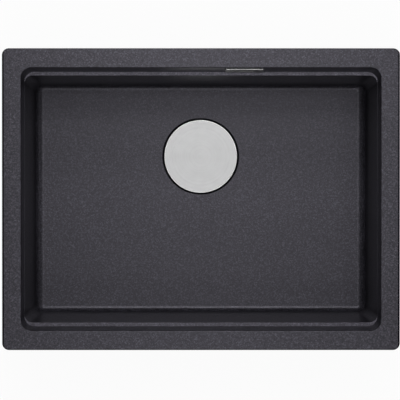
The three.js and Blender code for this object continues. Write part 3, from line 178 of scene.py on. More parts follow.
# Swivel clips: the direction in which each arm points at rest, in degrees
CLIPS = {
    "clip_back_left": 180,
    "clip_back_right": 0,
    "clip_front_left": 180,
    "clip_front_right": 0,
    "clip_left": 90,
    "clip_right": 90,
}
CLIP_INSERT_HOLE = 4.5
CLIP_INSERT_DEPTH = 7.1


def clip_frame(name):
    """Frame with its origin on the clip's pivot and +X along the clip's arm."""
    return upright_line(name + "_washer") @ Matrix.Rotation(math.radians(CLIPS[name]), 4, "Z")


# ---- mesh helpers


def new_object(name, data):
    """An object in the scene for a mesh, a lamp or a camera."""
    obj = bpy.data.objects.new(name, data)
    bpy.context.scene.collection.objects.link(obj)
    return obj


def add_object(name, vertices, faces):
    """A mesh object from points in millimetres, with its faces turned outwards."""
    mesh = bpy.data.meshes.new(name)
    mesh.from_pydata([tuple(v * MM) for v in vertices], [], faces)
    built = bmesh.new()
    built.from_mesh(mesh)
    bmesh.ops.remove_doubles(built, verts=built.verts, dist=MERGE * MM)
    bmesh.ops.recalc_face_normals(built, faces=built.faces)
    built.to_mesh(mesh)
    built.free()
    return new_object(name, mesh)


def loft(name, rings, closed=False):
    """Skins a run of rings of points. The ends are capped, unless the last ring runs on into the first."""
    count = len(rings[0])
    vertices = [point for ring in rings for point in ring]
    faces = []
    for i in range(len(rings) if closed else len(rings) - 1):
        here, there = i * count, (i + 1) % len(rings) * count
        for j in range(count):
            k = (j + 1) % count
            faces.append([here + j, here + k, there + k, there + j])
    if not closed:
        faces += [list(range(count)), list(range(len(vertices) - count, len(vertices)))]
    return add_object(name, vertices, faces)


def arc(centre_x, centre_y, radius, start, end, steps):
    """Points of an arc from start to end, in degrees."""
    angles = [math.radians(start + (end - start) * i / steps) for i in range(steps + 1)]
    return [(centre_x + radius * math.cos(a), centre_y + radius * math.sin(a)) for a in angles]


def rounded(corners, steps=EDGE_STEPS):
    """A closed outline from (x, y) or (x, y, radius) corners: the radius puts an arc at its corner."""
    points = []
    for i, corner in enumerate(corners):
        here = Vector(corner[:2])
        back = (Vector(corners[i - 1][:2]) - here).normalized()
        ahead = (Vector(corners[(i + 1) % len(corners)][:2]) - here).normalized()
        if len(corner) == 2 or (back + ahead).length < MERGE:
            points.append(tuple(here))
            continue
        half = back.angle(ahead) / 2
        centre = here + (back + ahead).normalized() * (corner[2] / math.sin(half))
        first = here + back * (corner[2] / math.tan(half)) - centre
        turn = first.angle_signed(here + ahead * (corner[2] / math.tan(half)) - centre)
        for step in range(steps + 1):
            spoke = first.copy()
            spoke.rotate(Matrix.Rotation(-turn * step / steps, 2))
            points.append(tuple(centre + spoke))
    return points


def rectangle(half_x, half_y, radius, steps=CORNER_STEPS):
    """A rectangle with round corners, anticlockwise seen from above."""
    points = []
    for quadrant, (sign_x, sign_y) in enumerate([(1, 1), (-1, 1), (-1, -1), (1, -1)]):
        centre_x, centre_y = sign_x * (half_x - radius), sign_y * (half_y - radius)
        points += arc(centre_x, centre_y, radius, 90 * quadrant, 90 * quadrant + 90, steps)
    return points


def circle(radius, steps=SMALL_ROUND):
    return arc(0, 0, radius, 0, 360 - 360 / steps, steps - 1)


def inset(outline, distance):
    """An anticlockwise outline moved inwards by a distance."""
    moved = []
    for i, point in enumerate(outline):
        before, here, after = Vector(outline[i - 1]), Vector(point), Vector(outline[(i + 1) % len(outline)])
        first, second = (here - before).normalized(), (after - here).normalized()
        inwards = Vector((-first.y - second.y, first.x + second.x)).normalized()
        moved.append(here + inwards * distance / inwards.dot(Vector((-first.y, first.x))))
    return moved


def block(name, outline, low, high, edge=0.0, frame=Matrix.Identity(4), steps=3):
    """An anticlockwise outline in a frame's XY plane, drawn out along Z, with rounded edges."""
    outline = [p for i, p in enumerate(outline) if (Vector(p) - Vector(outline[i - 1])).length > MERGE]
    layers = [(0, low), (0, high)]
    if edge:
        layers = [(edge - out, low + edge + up) for out, up in arc(0, 0, edge, -90, 0, steps)]
        layers += [(edge - out, high - edge + up) for out, up in arc(0, 0, edge, 0, 90, steps)]
    return loft(name, [[frame @ Vector((*p, z)) for p in inset(outline, by)] for by, z in layers])


def hole(radius, low, high, frame=DRAIN, steps=SMALL_ROUND):
    """A round cutting body about a frame's Z axis."""
    return block("hole", circle(radius, steps), low, high, frame=frame)


def revolve(name, profile, frame=DRAIN, steps=ROUND):
    """A solid turned about a frame's Z axis, from (radius, height) points.

    A profile that starts on the axis also ends there. Any other runs back to its first point.
    """
    spokes = circle(1, steps)
    rings = [[frame @ Vector((r * x, r * y, z)) for x, y in spokes] for r, z in profile]
    return loft(name, rings, closed=profile[0][0] > 0)


def around(count, start=0.0, radius=0.0):
    """Turns about Z at equal angles, each moved out by a radius."""
    out = Matrix.Translation((radius, 0, 0))
    return [Matrix.Rotation(start + math.tau * i / count, 4, "Z") @ out for i in range(count)]


def carve(obj, *cutters, operation="DIFFERENCE"):
    """Cuts the other objects from obj, or joins them to it, and removes them."""
    for cutter in cutters:
        modifier = obj.modifiers.new("carve", "BOOLEAN")
        modifier.operation = operation
        modifier.solver = "EXACT"
        modifier.object = cutter
    graph = bpy.context.evaluated_depsgraph_get()
    made = bpy.data.meshes.new_from_object(obj.evaluated_get(graph))
    obj.modifiers.clear()
    obj.data = made
    for cutter in cutters:
        bpy.data.objects.remove(cutter)
    return obj


def join(obj, *others):
    return carve(obj, *others, operation="UNION")


def smooth(obj, angle):
    """Smooth shading with crisp edges where faces meet at more than the angle, and flat faces kept flat."""
    obj.data.shade_smooth()
    obj.data.set_sharp_from_angle(angle=math.radians(angle))
    modifier = obj.modifiers.new("even_normals", "WEIGHTED_NORMAL")
    modifier.keep_sharp = True
    modifier.weight = NORMAL_WEIGHT


# ---- materials

COMPOSITE_TINT = (0.9, 0.87, 1.0, 1.0)
COMPOSITE_GLOSS = 0.39
NOISE_LOW, NOISE_HIGH = 0.3, 0.7  # most of a noise lies between these


class Nodes:
    """A short way to build a material's or a world's node tree."""

    MIX_COLOURS, MIX_RESULT = (6, 7), 2  # sockets of a Mix node

    def __init__(self, name, kind="materials", shader="Principled BSDF"):
        self.owner = getattr(bpy.data, kind).new(name)
        self.owner.use_nodes = True
        self.tree = self.owner.node_tree
        self.shader = self.tree.nodes[shader]

    def give(self, socket, value):
        """Sets a socket, or links it where the value is another node's socket."""
        if isinstance(value, bpy.types.NodeSocket):
            self.tree.links.new(value, socket)
        else:
            socket.default_value = value

    def add(self, kind, inputs=None, **settings):
        node = self.tree.nodes.new(kind)
        for key, value in settings.items():
            setattr(node, key, value)
        for key, value in (inputs or {}).items():
            self.give(node.inputs[key], value)
        return node

    def place(self):
        return self.add("ShaderNodeTexCoord").outputs["Object"]

    def noise(self, scale, detail=2.0, roughness=0.5, vector=None, dimensions="3D"):
        inputs = {"Scale": scale, "Detail": detail, "Roughness": roughness}
        if dimensions == "1D":
            inputs["W"] = vector
        else:
            inputs["Vector"] = vector or self.place()
        return self.add("ShaderNodeTexNoise", inputs, noise_dimensions=dimensions).outputs["Fac"]

    def grains(self, scale):
        return self.add("ShaderNodeTexVoronoi", {"Vector": self.place(), "Scale": scale}).outputs["Color"]

    def ramp(self, factor, stops):
        node = self.add("ShaderNodeValToRGB", {"Fac": factor})
        elements = node.color_ramp.elements
        while len(elements) < len(stops):
            elements.new(0.5)
        for element, (position, value) in zip(elements, stops):
            element.position = position
            element.color = (*value, 1) if isinstance(value, tuple) else (value, value, value, 1)
        return node.outputs["Color"]

    def shades(self, cloud, colour, darkest, low=NOISE_LOW, high=NOISE_HIGH):
        """A colour that a noise darkens, at most to a share of itself."""
        return self.ramp(cloud, [(low, tuple(c * darkest for c in colour)), (high, colour)])

    def uneven(self, cloud, middle, swing):
        """A value that a noise moves to both sides of its middle."""
        inputs = {
            "Value": cloud, "From Min": NOISE_LOW, "From Max": NOISE_HIGH,
            "To Min": middle - swing, "To Max": middle + swing,
        }
        return self.add("ShaderNodeMapRange", inputs).outputs["Result"]

    def vector(self, operation, first, second):
        return self.add("ShaderNodeVectorMath", {0: first, 1: second}, operation=operation).outputs[0]

    def math(self, operation, first, second):
        return self.add("ShaderNodeMath", {0: first, 1: second}, operation=operation).outputs[0]

    def mix(self, factor, first, second, blend="MIX"):
        node = self.add("ShaderNodeMix", {"Factor": factor}, data_type="RGBA", blend_type=blend)
        for place, value in zip(self.MIX_COLOURS, (first, second)):
            self.give(node.inputs[place], (*value, 1) if isinstance(value, tuple) else value)
        return node.outputs[self.MIX_RESULT]

    def bump(self, height, strength, distance):
        """Relief up to a distance in millimetres."""
        inputs = {"Height": height, "Strength": strength, "Distance": distance * MM}
        self.give(self.shader.inputs["Normal"], self.add("ShaderNodeBump", inputs).outputs["Normal"])

    def finish(self, **inputs):
        """Fills the shader's inputs: base_color stands for Base Color, and so on."""
        for name, value in inputs.items():
            self.give(self.shader.inputs[name.replace("_", " ").title().replace("Ior", "IOR")], value)
        return self.owner


def composite(name, dark, light, roughness, bump, gloss=COMPOSITE_GLOSS):
    """Cast stone composite: a dark matrix full of fine mineral grains."""
    nodes = Nodes(name)
    cell = nodes.add("ShaderNodeSeparateColor", {"Color": nodes.grains(scale=650)}).outputs["Red"]
    grain = nodes.ramp(cell, [(0.0, 0.0), (0.55, 0.25), (0.85, 0.6), (1.0, 1.0)])
    cloud = nodes.uneven(nodes.noise(260, detail=3), middle=1, swing=0.25)
    colour = nodes.mix(nodes.math("MULTIPLY", grain, cloud), dark, light)
    rough = nodes.uneven(nodes.noise(420), roughness, swing=0.05)
    nodes.bump(nodes.noise(700, detail=3, roughness=0.6), bump, distance=0.15)
    nodes.finish(specular_ior_level=gloss, specular_tint=COMPOSITE_TINT)
    return nodes.finish(base_color=colour, roughness=rough)


def turned_steel(name, colour, roughness):
    """Steel turned or brushed in rings about the drain's centre line."""
    nodes = Nodes(name)
    moved = nodes.vector("SUBTRACT", nodes.place(), tuple(DRAIN_PLACE))
    flat = nodes.vector("MULTIPLY", moved, (1, 1, 0))
    radius = nodes.add("ShaderNodeVectorMath", {0: flat}, operation="LENGTH").outputs["Value"]
    fine = nodes.noise(1500, detail=4, roughness=0.7, vector=radius, dimensions="1D")
    broad = nodes.noise(320, vector=radius, dimensions="1D")
    rings = nodes.math("MULTIPLY", nodes.math("ADD", fine, broad), 0.5)
    turned = nodes.shades(rings, colour, darkest=0.84, low=0.35, high=0.65)
    cloud = nodes.shades(nodes.noise(70, detail=3), (1.0, 1.0, 1.0), darkest=0.93)
    nodes.bump(rings, strength=0.25, distance=0.02)
    rough = nodes.uneven(rings, roughness, swing=0.08)
    shade = nodes.mix(1.0, turned, cloud, "MULTIPLY")
    return nodes.finish(base_color=shade, roughness=rough, metallic=1.0)


def brushed(name, colour, roughness, stretch):
    """Metal brushed along one axis: stretch is how fine the lines are along X, Y and Z."""
    nodes = Nodes(name)
    drawn = nodes.vector("MULTIPLY", nodes.place(), stretch)
    lines = nodes.noise(1.0, detail=3, roughness=0.6, vector=drawn)
    nodes.bump(lines, strength=0.15, distance=0.02)
    rough = nodes.uneven(lines, roughness, swing=0.07)
    return nodes.finish(base_color=nodes.shades(lines, colour, darkest=0.9), roughness=rough, metallic=1.0)


def moulded(name, colour, roughness):
    """Moulded plastic or rubber: an even colour with a fine grain and slightly uneven gloss."""
    nodes = Nodes(name)
    shade = nodes.shades(nodes.noise(60, detail=3), colour, darkest=0.92)
    nodes.bump(nodes.noise(1600), strength=0.2, distance=0.03)
    return nodes.finish(base_color=shade, roughness=nodes.uneven(nodes.noise(900), roughness, swing=0.05))


# Each material's maker and what it is given, in the maker's order
LOOKS = {
    "composite": (composite, (0.003, 0.0028, 0.0036), (0.0515, 0.049, 0.062), 0.36, 0.35),
    # Painted sheen: a lighter colour for the front ledge's highlight band
    "composite_worn": (composite, (0.021, 0.02, 0.025), (0.1, 0.095, 0.119), 0.36, 0.35),
    # Painted sheen, lighter still, for the back ledge's highlight band
    "composite_rubbed": (composite, (0.04, 0.038, 0.047), (0.17, 0.161, 0.202), 0.36, 0.35),
    # Painted shade: near black and without gloss, for the drain's recess and the edge of the rim's short ends
    "composite_turned": (composite, (0.003, 0.0028, 0.0036), (0.012, 0.0115, 0.014), 0.7, 0.6, 0.0),
    "composite_raw": (composite, (0.03, 0.0285, 0.034), (0.085, 0.081, 0.097), 0.75, 0.8),
    "brushed_steel": (turned_steel, (0.328, 0.328, 0.331), 0.36),
    "bright_steel": (turned_steel, (0.46, 0.46, 0.46), 0.33),
    "straight_steel": (brushed, (0.34, 0.34, 0.34), 0.4, (40, 1500, 1500)),
    "zinc_steel": (brushed, (0.42, 0.43, 0.44), 0.42, (300, 300, 300)),
    "brass": (brushed, (0.45, 0.27, 0.08), 0.35, (900, 900, 200)),
    "black_plastic": (moulded, (0.012, 0.0125, 0.013), 0.42),
    "grey_plastic": (moulded, (0.62, 0.63, 0.62), 0.4),
    "rubber": (moulded, (0.009, 0.009, 0.009), 0.7),
}
MATERIALS = {name: make(name, *values) for name, (make, *values) in LOOKS.items()}


def piece(obj, slot, node, body="sink", material=None, angle=SHARP_ANGLE):
    """Gives a finished mesh its body and its material, shades it smooth and hides the CAD node that it stands
    for.
    """
    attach(obj, body)
    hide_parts(node)
    obj.data.materials.clear()
    obj.data.materials.append(MATERIALS[material or slot])
    smooth(obj, angle)
    return obj


# ---- sink bowl


def upper_inset(z, draft):
    return (-z - RIM_EDGE) * math.tan(draft)


LEDGE_TOP_HALF_Y = OPENING_HALF_Y - upper_inset(-LEDGE_DEPTH + LEDGE_FILLET, UPPER_END_DRAFT) - LEDGE_FILLET
LOWER_TOP_HALF_Y = LEDGE_TOP_HALF_Y - LEDGE_WIDTH - LEDGE_EDGE
LOWER_TOP_HALF_X = OPENING_HALF_X - upper_inset(-LEDGE_DEPTH, UPPER_SIDE_DRAFT) - LEDGE_SIDE_STEP
LOWER_HEIGHT = BOWL_DEPTH - LEDGE_DEPTH - LEDGE_EDGE - BOTTOM_FILLET_HEIGHT
LOWER_FOOT_HALF_X = LOWER_TOP_HALF_X - LOWER_HEIGHT * math.tan(LOWER_SIDE_DRAFT)
LOWER_FOOT_HALF_Y = LOWER_TOP_HALF_Y - LOWER_HEIGHT * math.tan(LOWER_END_DRAFT)


def inner_levels():
    """(half x, half y, corner radius, z) of the bowl's inside, from the floor up to the rim's top face."""
    levels = []
    for drawn_in, up in arc(1, 1, 1, -90, -180, FILLET_STEPS):
        half_x = LOWER_FOOT_HALF_X - drawn_in * BOTTOM_SIDE_FILLET
        half_y = LOWER_FOOT_HALF_Y - drawn_in * BOTTOM_END_FILLET
        corner = BOWL_CORNER - drawn_in * BOTTOM_END_FILLET
        levels.append((half_x, half_y, corner, -BOWL_DEPTH + up * BOTTOM_FILLET_HEIGHT))
    for out, up in arc(0, 0, LEDGE_EDGE, 0, 90, EDGE_STEPS):
        half_y = LOWER_TOP_HALF_Y + LEDGE_EDGE - out
        levels.append((LOWER_TOP_HALF_X, half_y, BOWL_CORNER, -LEDGE_DEPTH - LEDGE_EDGE + up))
    for out, up in arc(0, 0, LEDGE_FILLET, -90, 0, EDGE_STEPS):
        z = -LEDGE_DEPTH + LEDGE_FILLET + up
        half_x = OPENING_HALF_X - upper_inset(z, UPPER_SIDE_DRAFT)
        levels.append((half_x, LEDGE_TOP_HALF_Y + out, UPPER_FOOT_CORNER, z))
    for out, up in arc(0, 0, RIM_EDGE, 180, 90, EDGE_STEPS):
        widen = RIM_EDGE + out
        corner = OPENING_CORNER + widen
        levels.append((OPENING_HALF_X + widen, OPENING_HALF_Y + widen, corner, -RIM_EDGE + up))
    return levels


def outer_levels():
    """The same for the outside, from the rim's top face down to the bottom."""
    levels = []
    for out, up in arc(0, 0, RIM_OUTER_EDGE, 90, 0, EDGE_STEPS):
        drawn_in = RIM_OUTER_EDGE - out
        half_x, half_y = RIM_HALF_X - drawn_in, RIM_HALF_Y - drawn_in
        levels.append((half_x, half_y, RIM_CORNER - drawn_in, -RIM_OUTER_EDGE + up))
    for out, up in arc(0, 0, FLANGE_FOOT, 0, -90, EDGE_STEPS):
        drawn_in = FLANGE_FOOT - out
        z = -FLANGE_THICKNESS + FLANGE_FOOT + up
        levels.append((RIM_HALF_X - drawn_in, RIM_HALF_Y - drawn_in, RIM_CORNER - drawn_in, z))
    wall_x, wall_y = OPENING_HALF_X + WALL, OPENING_HALF_Y + WALL
    for out, up in arc(0, 0, FLANGE_FILLET, 90, 180, EDGE_STEPS):
        widen = FLANGE_FILLET + out
        corner = OPENING_CORNER + WALL + widen
        levels.append((wall_x + widen, wall_y + widen, corner, -FLANGE_THICKNESS - FLANGE_FILLET + up))
    slope_top = -LEDGE_DEPTH - LEDGE_BACKING
    lower_corner = BOWL_CORNER + WALL
    levels.append((wall_x, wall_y, OPENING_CORNER + WALL, slope_top))
    levels.append((LOWER_TOP_HALF_X + WALL, LOWER_TOP_HALF_Y + WALL, lower_corner, slope_top - SLOPE_DROP))
    for out, up in arc(0, 0, BOTTOM_OUTER, 0, -90, FILLET_STEPS):
        drawn_in = BOTTOM_OUTER - out
        z = -BOWL_DEPTH - FLOOR_THICKNESS + BOTTOM_OUTER + up
        half_x, half_y = LOWER_FOOT_HALF_X + WALL - drawn_in, LOWER_FOOT_HALF_Y + WALL - drawn_in
        levels.append((half_x, half_y, lower_corner - drawn_in, z))
    return levels


def overflow_slot(low, high, frame):
    """A cutting body for the overflow's slot."""
    outline = rectangle(OVERFLOW_SLOT_LENGTH / 2, OVERFLOW_SLOT_HEIGHT / 2, OVERFLOW_SLOT_HEIGHT / 2)
    return block("slot", outline, low, high, frame=frame)


# Polished inside and rim, raw outside, the front ledge painted lighter as sheen, painted shade (near black,
# without gloss) in the drain's recess and on the edge of the rim's short ends, and the back ledge painted
# lighter still as sheen
POLISHED, RAW, FRONT_LEDGE_SHEEN, PAINTED_SHADE, BACK_LEDGE_SHEEN = BOWL_FINISHES = (
    "composite", "composite_raw", "composite_worn", "composite_turned", "composite_rubbed"
)
SHADED_EDGE_LEAN = 0.1  # of a normal, outwards: more gets the painted shade
LEVEL_LEAN = 0.5  # of a normal, up or down: more is level, and less is a wall
BOSS_ROOM = 1  # round the boss, where walls are still the drain's


def bowl_finish(centre, normal):
    """Name of a face's finish, painted shade and painted sheen among them, from its middle in metres and its
    normal.
    """
    from_drain = (centre - DRAIN_PLACE).xy.length / MM
    in_recess = from_drain < RECESS_RADIUS + RECESS_EDGE and centre.z < -(BOWL_DEPTH + RECESS_EDGE) * MM
    at_rim_end = centre.z > -RIM_OUTER_EDGE * MM and abs(centre.x) > (RIM_HALF_X - RIM_OUTER_EDGE) * MM
    # Painted shade on the drain's recess and on the edge of the rim's short ends
    if in_recess and normal.z > -LEVEL_LEAN or at_rim_end and abs(normal.x) > SHADED_EDGE_LEAN:
        return PAINTED_SHADE
    if normal.z > LEVEL_LEAN:
        # The ledges' level strips get painted sheen, lighter at the back
        if abs(centre.z / MM + LEDGE_DEPTH) < LEDGE_EDGE:
            return BACK_LEDGE_SHEEN if centre.y > 0 else FRONT_LEDGE_SHEEN
        return POLISHED
    if normal.z < -LEVEL_LEAN:
        return RAW
    near_drain = from_drain < BOSS_RADIUS + BOSS_ROOM and centre.z < -BOWL_DEPTH * MM
    outwards = (centre - DRAIN_PLACE if near_drain else centre).xy
    is_outside = normal.xy.dot(outwards) > 0 and centre.z < -RIM_EDGE * MM
    return RAW if is_outside else POLISHED


def build_bowl():
    levels = inner_levels() + outer_levels()
    bowl = loft("bowl", [[Vector((*p, z)) for p in rectangle(a, b, r)] for a, b, r, z in levels])
    root_z = -BOWL_DEPTH - FLOOR_THICKNESS / 2
    boss_z = BOWL_LOW.z
    lip = RECESS_RADIUS + RECESS_EDGE
    recess_z = -BOWL_DEPTH - RECESS_DEPTH
    join(bowl, revolve("boss", rounded([
        (0, root_z), (BOSS_RADIUS, root_z), (BOSS_RADIUS, boss_z, BOSS_EDGE), (0, boss_z),
    ])))
    drain_cut = revolve("drain_cut", [
        (0, PAST - BOWL_DEPTH), (lip, PAST - BOWL_DEPTH),
        *arc(lip, -BOWL_DEPTH - RECESS_EDGE, RECESS_EDGE, 90, 180, EDGE_STEPS),
        (RECESS_RADIUS, recess_z), (DRAIN_HOLE_RADIUS, recess_z),
        (DRAIN_HOLE_RADIUS, boss_z - PAST), (0, boss_z - PAST),
    ])
    holes = [overflow_slot(-PAST, 2 * WALL, OVERFLOW_PLACE @ INTO_WALL)]
    holes += [hole(OVERFLOW_SCREW_HOLE, -PAST, 2 * WALL, at) for at in OVERFLOW_SCREWS]
    low, high = -FLANGE_THICKNESS - PAST, -FLANGE_THICKNESS + CLIP_INSERT_DEPTH
    holes += [hole(CLIP_INSERT_HOLE, low, high, clip_frame(name)) for name in CLIPS]
    carve(bowl, drain_cut, *holes)
    piece(bowl, "composite", "sink_bowl")
    for name in BOWL_FINISHES[1:]:
        bowl.data.materials.append(MATERIALS[name])
    for face in bowl.data.polygons:
        face.material_index = BOWL_FINISHES.index(bowl_finish(face.center, face.normal))


build_bowl()

# ---- drain cover

COVER_EDGE = 0.4
COVER_BEVEL = 1.3  # width of the bright bevel
COVER_BEVEL_DROP = 0.1
CARRIER_EDGE = 0.4
CARRIER_HOOP_WIDTH = 6
CARRIER_THICKNESS = 1.6
CARRIER_HUB_RADIUS = 9
CARRIER_SPOKES = 6  # each runs to a foot
CARRIER_SPOKE_WIDTH = 5
FOOT_RADIUS = 2.6


def build_cover():
    low, high, radius = turned_size("drain_cover")
    disc = piece(revolve("drain_disc", rounded([
        (0, low), (radius, low, COVER_EDGE), (radius, high - COVER_BEVEL_DROP, COVER_EDGE),
        (radius - COVER_BEVEL, high), (0, high),
    ]), steps=COVER_ROUND), "brushed_steel", "drain_cover", "cover")
    disc.data.materials.append(MATERIALS["bright_steel"])
    for face in disc.data.polygons:
        from_middle = (face.center - DRAIN_PLACE).xy.length / MM
        face.material_index = int(from_middle > radius - COVER_BEVEL)

    low, high, outer = turned_size("cover_carrier")
    inner = outer - CARRIER_HOOP_WIDTH
    middle = (inner + outer) / 2
    under = high - CARRIER_THICKNESS
    carrier = revolve("cover_hoop", rounded([
        (inner, under, CARRIER_EDGE), (outer, under, CARRIER_EDGE),
        (outer, high, CARRIER_EDGE), (inner, high, CARRIER_EDGE),
    ]))
    parts = [block("hub", circle(CARRIER_HUB_RADIUS), under, high, CARRIER_EDGE, DRAIN)]
    arm = [(x + middle / 2, y) for x, y in rectangle(middle / 2, CARRIER_SPOKE_WIDTH / 2, 1)]
    parts += [block("arm", arm, under, high, CARRIER_EDGE, DRAIN @ turn) for turn in around(CARRIER_SPOKES)]
    parts += [
        block("foot", circle(FOOT_RADIUS), low, under + CARRIER_EDGE, CARRIER_EDGE, DRAIN @ turn)
        for turn in around(CARRIER_SPOKES, radius=middle)
    ]
    piece(join(carrier, *parts), "black_plastic", "cover_carrier", "cover")


build_cover()

# ---- basket

CUP_THICKNESS = 0.9
CUP_RADIUS = 34.5
STEM_HOLE = 3.3
CUP_SLOT_HEIGHT = 9
CUP_SLOT_WIDTH = 4
CUP_SLOT_DROP = 11.7  # the cup's top to the middle of its slots
CUP_SLOTS = 12
CUP_HOLE_RADIUS = 2.4
CUP_HOLE_FACETS = 24
CUP_HOLE_RINGS = {14: 6, 24: 12}  # ring radius: number of holes
STEM_RADIUS = 3
RIVET_RADIUS = 4.2
RIVET_THICKNESS = 0.9
COLLAR_RADIUS = 6
COLLAR_Z = 2.4  # above the rivet's foot
COLLAR_THICKNESS = 1.8
COLLAR_RISE = STEM_RADIUS * 0.3  # of its top towards the stem
KNOB_HEIGHT = 5
KNOB_CHAMFER = 1.7
KNOB_TOP_STEP = 2.2
STOPPER_FOOT_RADIUS = 38
STOPPER_LIP = 0.7


def build_basket():
    low, high, flange = turned_size("basket_cup")
    seat, floor = high - CUP_THICKNESS, low + CUP_THICKNESS
    bore = CUP_RADIUS - CUP_THICKNESS
    cup = revolve("basket_cup_pressing", rounded([
        (STEM_HOLE, low), (CUP_RADIUS, low, 3), (CUP_RADIUS, seat, 0.6),
        (flange, seat, 0.35), (flange, high, 0.45), (bore, high, 1.5),
        (bore, floor, 2.1), (STEM_HOLE, floor),
    ]))
    sideways = Matrix.Translation((0, 0, high - CUP_SLOT_DROP)) @ Matrix.Rotation(math.pi / 2, 4, "Y")
    slot = rectangle(CUP_SLOT_HEIGHT / 2, CUP_SLOT_WIDTH / 2, CUP_SLOT_WIDTH / 2, 6)
    cutters = [
        block("slot", slot, bore - PAST, CUP_RADIUS + PAST, frame=DRAIN @ turn @ sideways)
        for turn in around(CUP_SLOTS)
    ]
    for radius, count in CUP_HOLE_RINGS.items():
        cutters += [
            hole(CUP_HOLE_RADIUS, low - PAST, floor + PAST, DRAIN @ turn, CUP_HOLE_FACETS)
            for turn in around(count, radius=radius)
        ]
    piece(carve(cup, *cutters), "brushed_steel", "basket_cup", "basket")

    low, high, radius = turned_size("basket_knob")
    collar = low + COLLAR_Z
    collar_top = collar + COLLAR_THICKNESS
    rivet_top = low + RIVET_THICKNESS
    head = high - KNOB_HEIGHT
    piece(revolve("pull_knob", rounded([
        (0, low), (RIVET_RADIUS, low, 0.4), (RIVET_RADIUS, rivet_top, 0.2), (STEM_RADIUS, rivet_top),
        (STEM_RADIUS, collar), (COLLAR_RADIUS, collar, 0.3), (COLLAR_RADIUS, collar_top, 0.6),
        (STEM_RADIUS, collar_top + COLLAR_RISE, 1), (STEM_RADIUS, head, 1.5),
        (radius, head + KNOB_CHAMFER, 0.7), (radius, high - KNOB_CHAMFER, 0.8),
        (radius - KNOB_TOP_STEP, high, 1.4), (0, high),
    ]), steps=NUT_ROUND), "brushed_steel", "basket_knob", "basket")

    low, high, radius = turned_size("basket_stopper")
    inner = CUP_RADIUS + GAP
    piece(revolve("stopper_ring", rounded([
        (inner, low, 0.3), (STOPPER_FOOT_RADIUS, low, 0.8), (radius, high - STOPPER_LIP, 0.5),
        (radius, high, 0.3), (inner, high, 0.3),
    ])), "rubber", "basket_stopper", "basket")


build_basket()

# ---- strainer waste

DISH_THICKNESS = 1
DISH_RADIUS = 43
WELL_RADIUS = 37
NECK_DEPTH = 8
CONE_DEPTH = 8
WELL_HOLE_RADIUS = 6
WELL_HOLE_RING = 22
WELL_HOLES = 6
SEAL_BORE = 46
BODY_SEAL_BORE = 47.5
BODY_BORE = 46.5
BODY_RADIUS = 49
BODY_FLANGE_THICKNESS = 4
OUTLET_RADIUS = 23.9
OUTLET_BORE = 19.5
OUTLET_LENGTH = 18
OUTLET_PLAIN = 2  # no thread at both ends
BODY_CONE_DEPTH = 10
INLET_Z = -243.1
INLET_REACH = 52  # the drain's centre line to the root of the inlet's socket
SOCKET_RADIUS = 10.8
SOCKET_BORE = 9.3
SOCKET_LENGTH = 14
SOCKET_STOP = 4  # depth at which the pipe's end stops
SOCKET_COLLAR = 5  # no thread up to here
PIPE_RADIUS = 9
PIPE_BORE = 7.5
PIPE_BEND = 30
PIPE_BEND_STEPS = 18
THREAD_DEPTH = 0.5
THREAD_PITCH = 2
HUB_RADIUS = 8
HUB_BORE = 5.1
HUB_HEIGHT = 14
HUB_TOP = -244.1
SPIDER_ARM_WIDTH = 5
SPIDER_ARM_HEIGHT = 6
SPIDER_ARMS = 3
GUSSETS = 12
GUSSET_REACH = 5.5
GUSSET_HEIGHT = 12
GUSSET_FOOT = 0.8
GUSSET_HALF_WIDTH = 1
GUSSET_ROOT = 0.5  # inside the body and its flange
CENTRE_SCREW_RADIUS = 3
CENTRE_SCREW_CHAMFER = 0.8
CENTRE_SCREW_PLAIN = 5  # no thread this far under the head
CENTRE_HEAD_HEIGHT = 4
CENTRE_HEAD_CHAMFER = 1.5
CENTRE_SLOT_WIDTH = 1.8
CENTRE_SLOT_DEPTH = 2
RIB_SET_IN = 0.2  # from a nut's faces to its ribs
OUTLET_NUT_WALL = 3.3
OUTLET_NUT_LIP = 3
OUTLET_NUT_RIBS = 8
OUTLET_NUT_RIB_WIDTH = 3
TAIL_RADIUS = 20
TAIL_BORE = 18
TAIL_FLANGE_THICKNESS = 2

NUT_LOW, NUT_HIGH = box("overflow_upper_nut")
PIPE_TOP = Vector((OVERFLOW_X, (NUT_LOW.y + NUT_HIGH.y) / 2, box("overflow_pipe")[1].z))
INLET_WAY = (PIPE_TOP - DRAIN.translation).xy.normalized().to_3d()
INLET = Matrix.Translation(DRAIN.translation + INLET_WAY * INLET_REACH + Vector((0, 0, INLET_Z)))
INLET @= Vector((0, 0, 1)).rotation_difference(INLET_WAY).to_matrix().to_4x4()


def thread(radius, low, high):
    """Corners of a screw thread's outline from low up to high, as plain ridges."""
    count = int((high - low) / THREAD_PITCH)
    corners = []
    for i in range(count):
        z = low + i * THREAD_PITCH
        corners += [(radius, z, 0.15), (radius - THREAD_DEPTH, z + THREAD_PITCH / 2, 0.15)]
    return corners


def hoop(name, node, bore, slot, radius=0.4):
    """A flat washer or seal that fills its node's height and width."""
    low, high, outer = turned_size(node)
    piece(revolve(name, rounded([
        (bore, low, radius), (outer, low, radius), (outer, high, radius), (bore, high, radius),
    ])), slot, node)


def socket(start, frame):
    """A threaded socket along a frame's Z axis, whose solid root runs back to start."""
    return revolve("socket", rounded([
        (0, start), (SOCKET_RADIUS, start), (SOCKET_RADIUS, SOCKET_COLLAR, 0.3),
        *thread(SOCKET_RADIUS, SOCKET_COLLAR + 1, SOCKET_LENGTH - 1),
        (SOCKET_RADIUS - THREAD_DEPTH, SOCKET_LENGTH, 0.3), (0, SOCKET_LENGTH),
    ]), frame, FITTING_ROUND)


def socket_bore(start, radius, frame):
    """The bore for the pipe's end, with a narrower one that runs back to start."""
    return revolve("bore", [
        (0, start), (radius, start), (radius, SOCKET_STOP),
        (SOCKET_BORE, SOCKET_STOP), (SOCKET_BORE, SOCKET_LENGTH + PAST), (0, SOCKET_LENGTH + PAST),
    ], frame, BORE_ROUND)


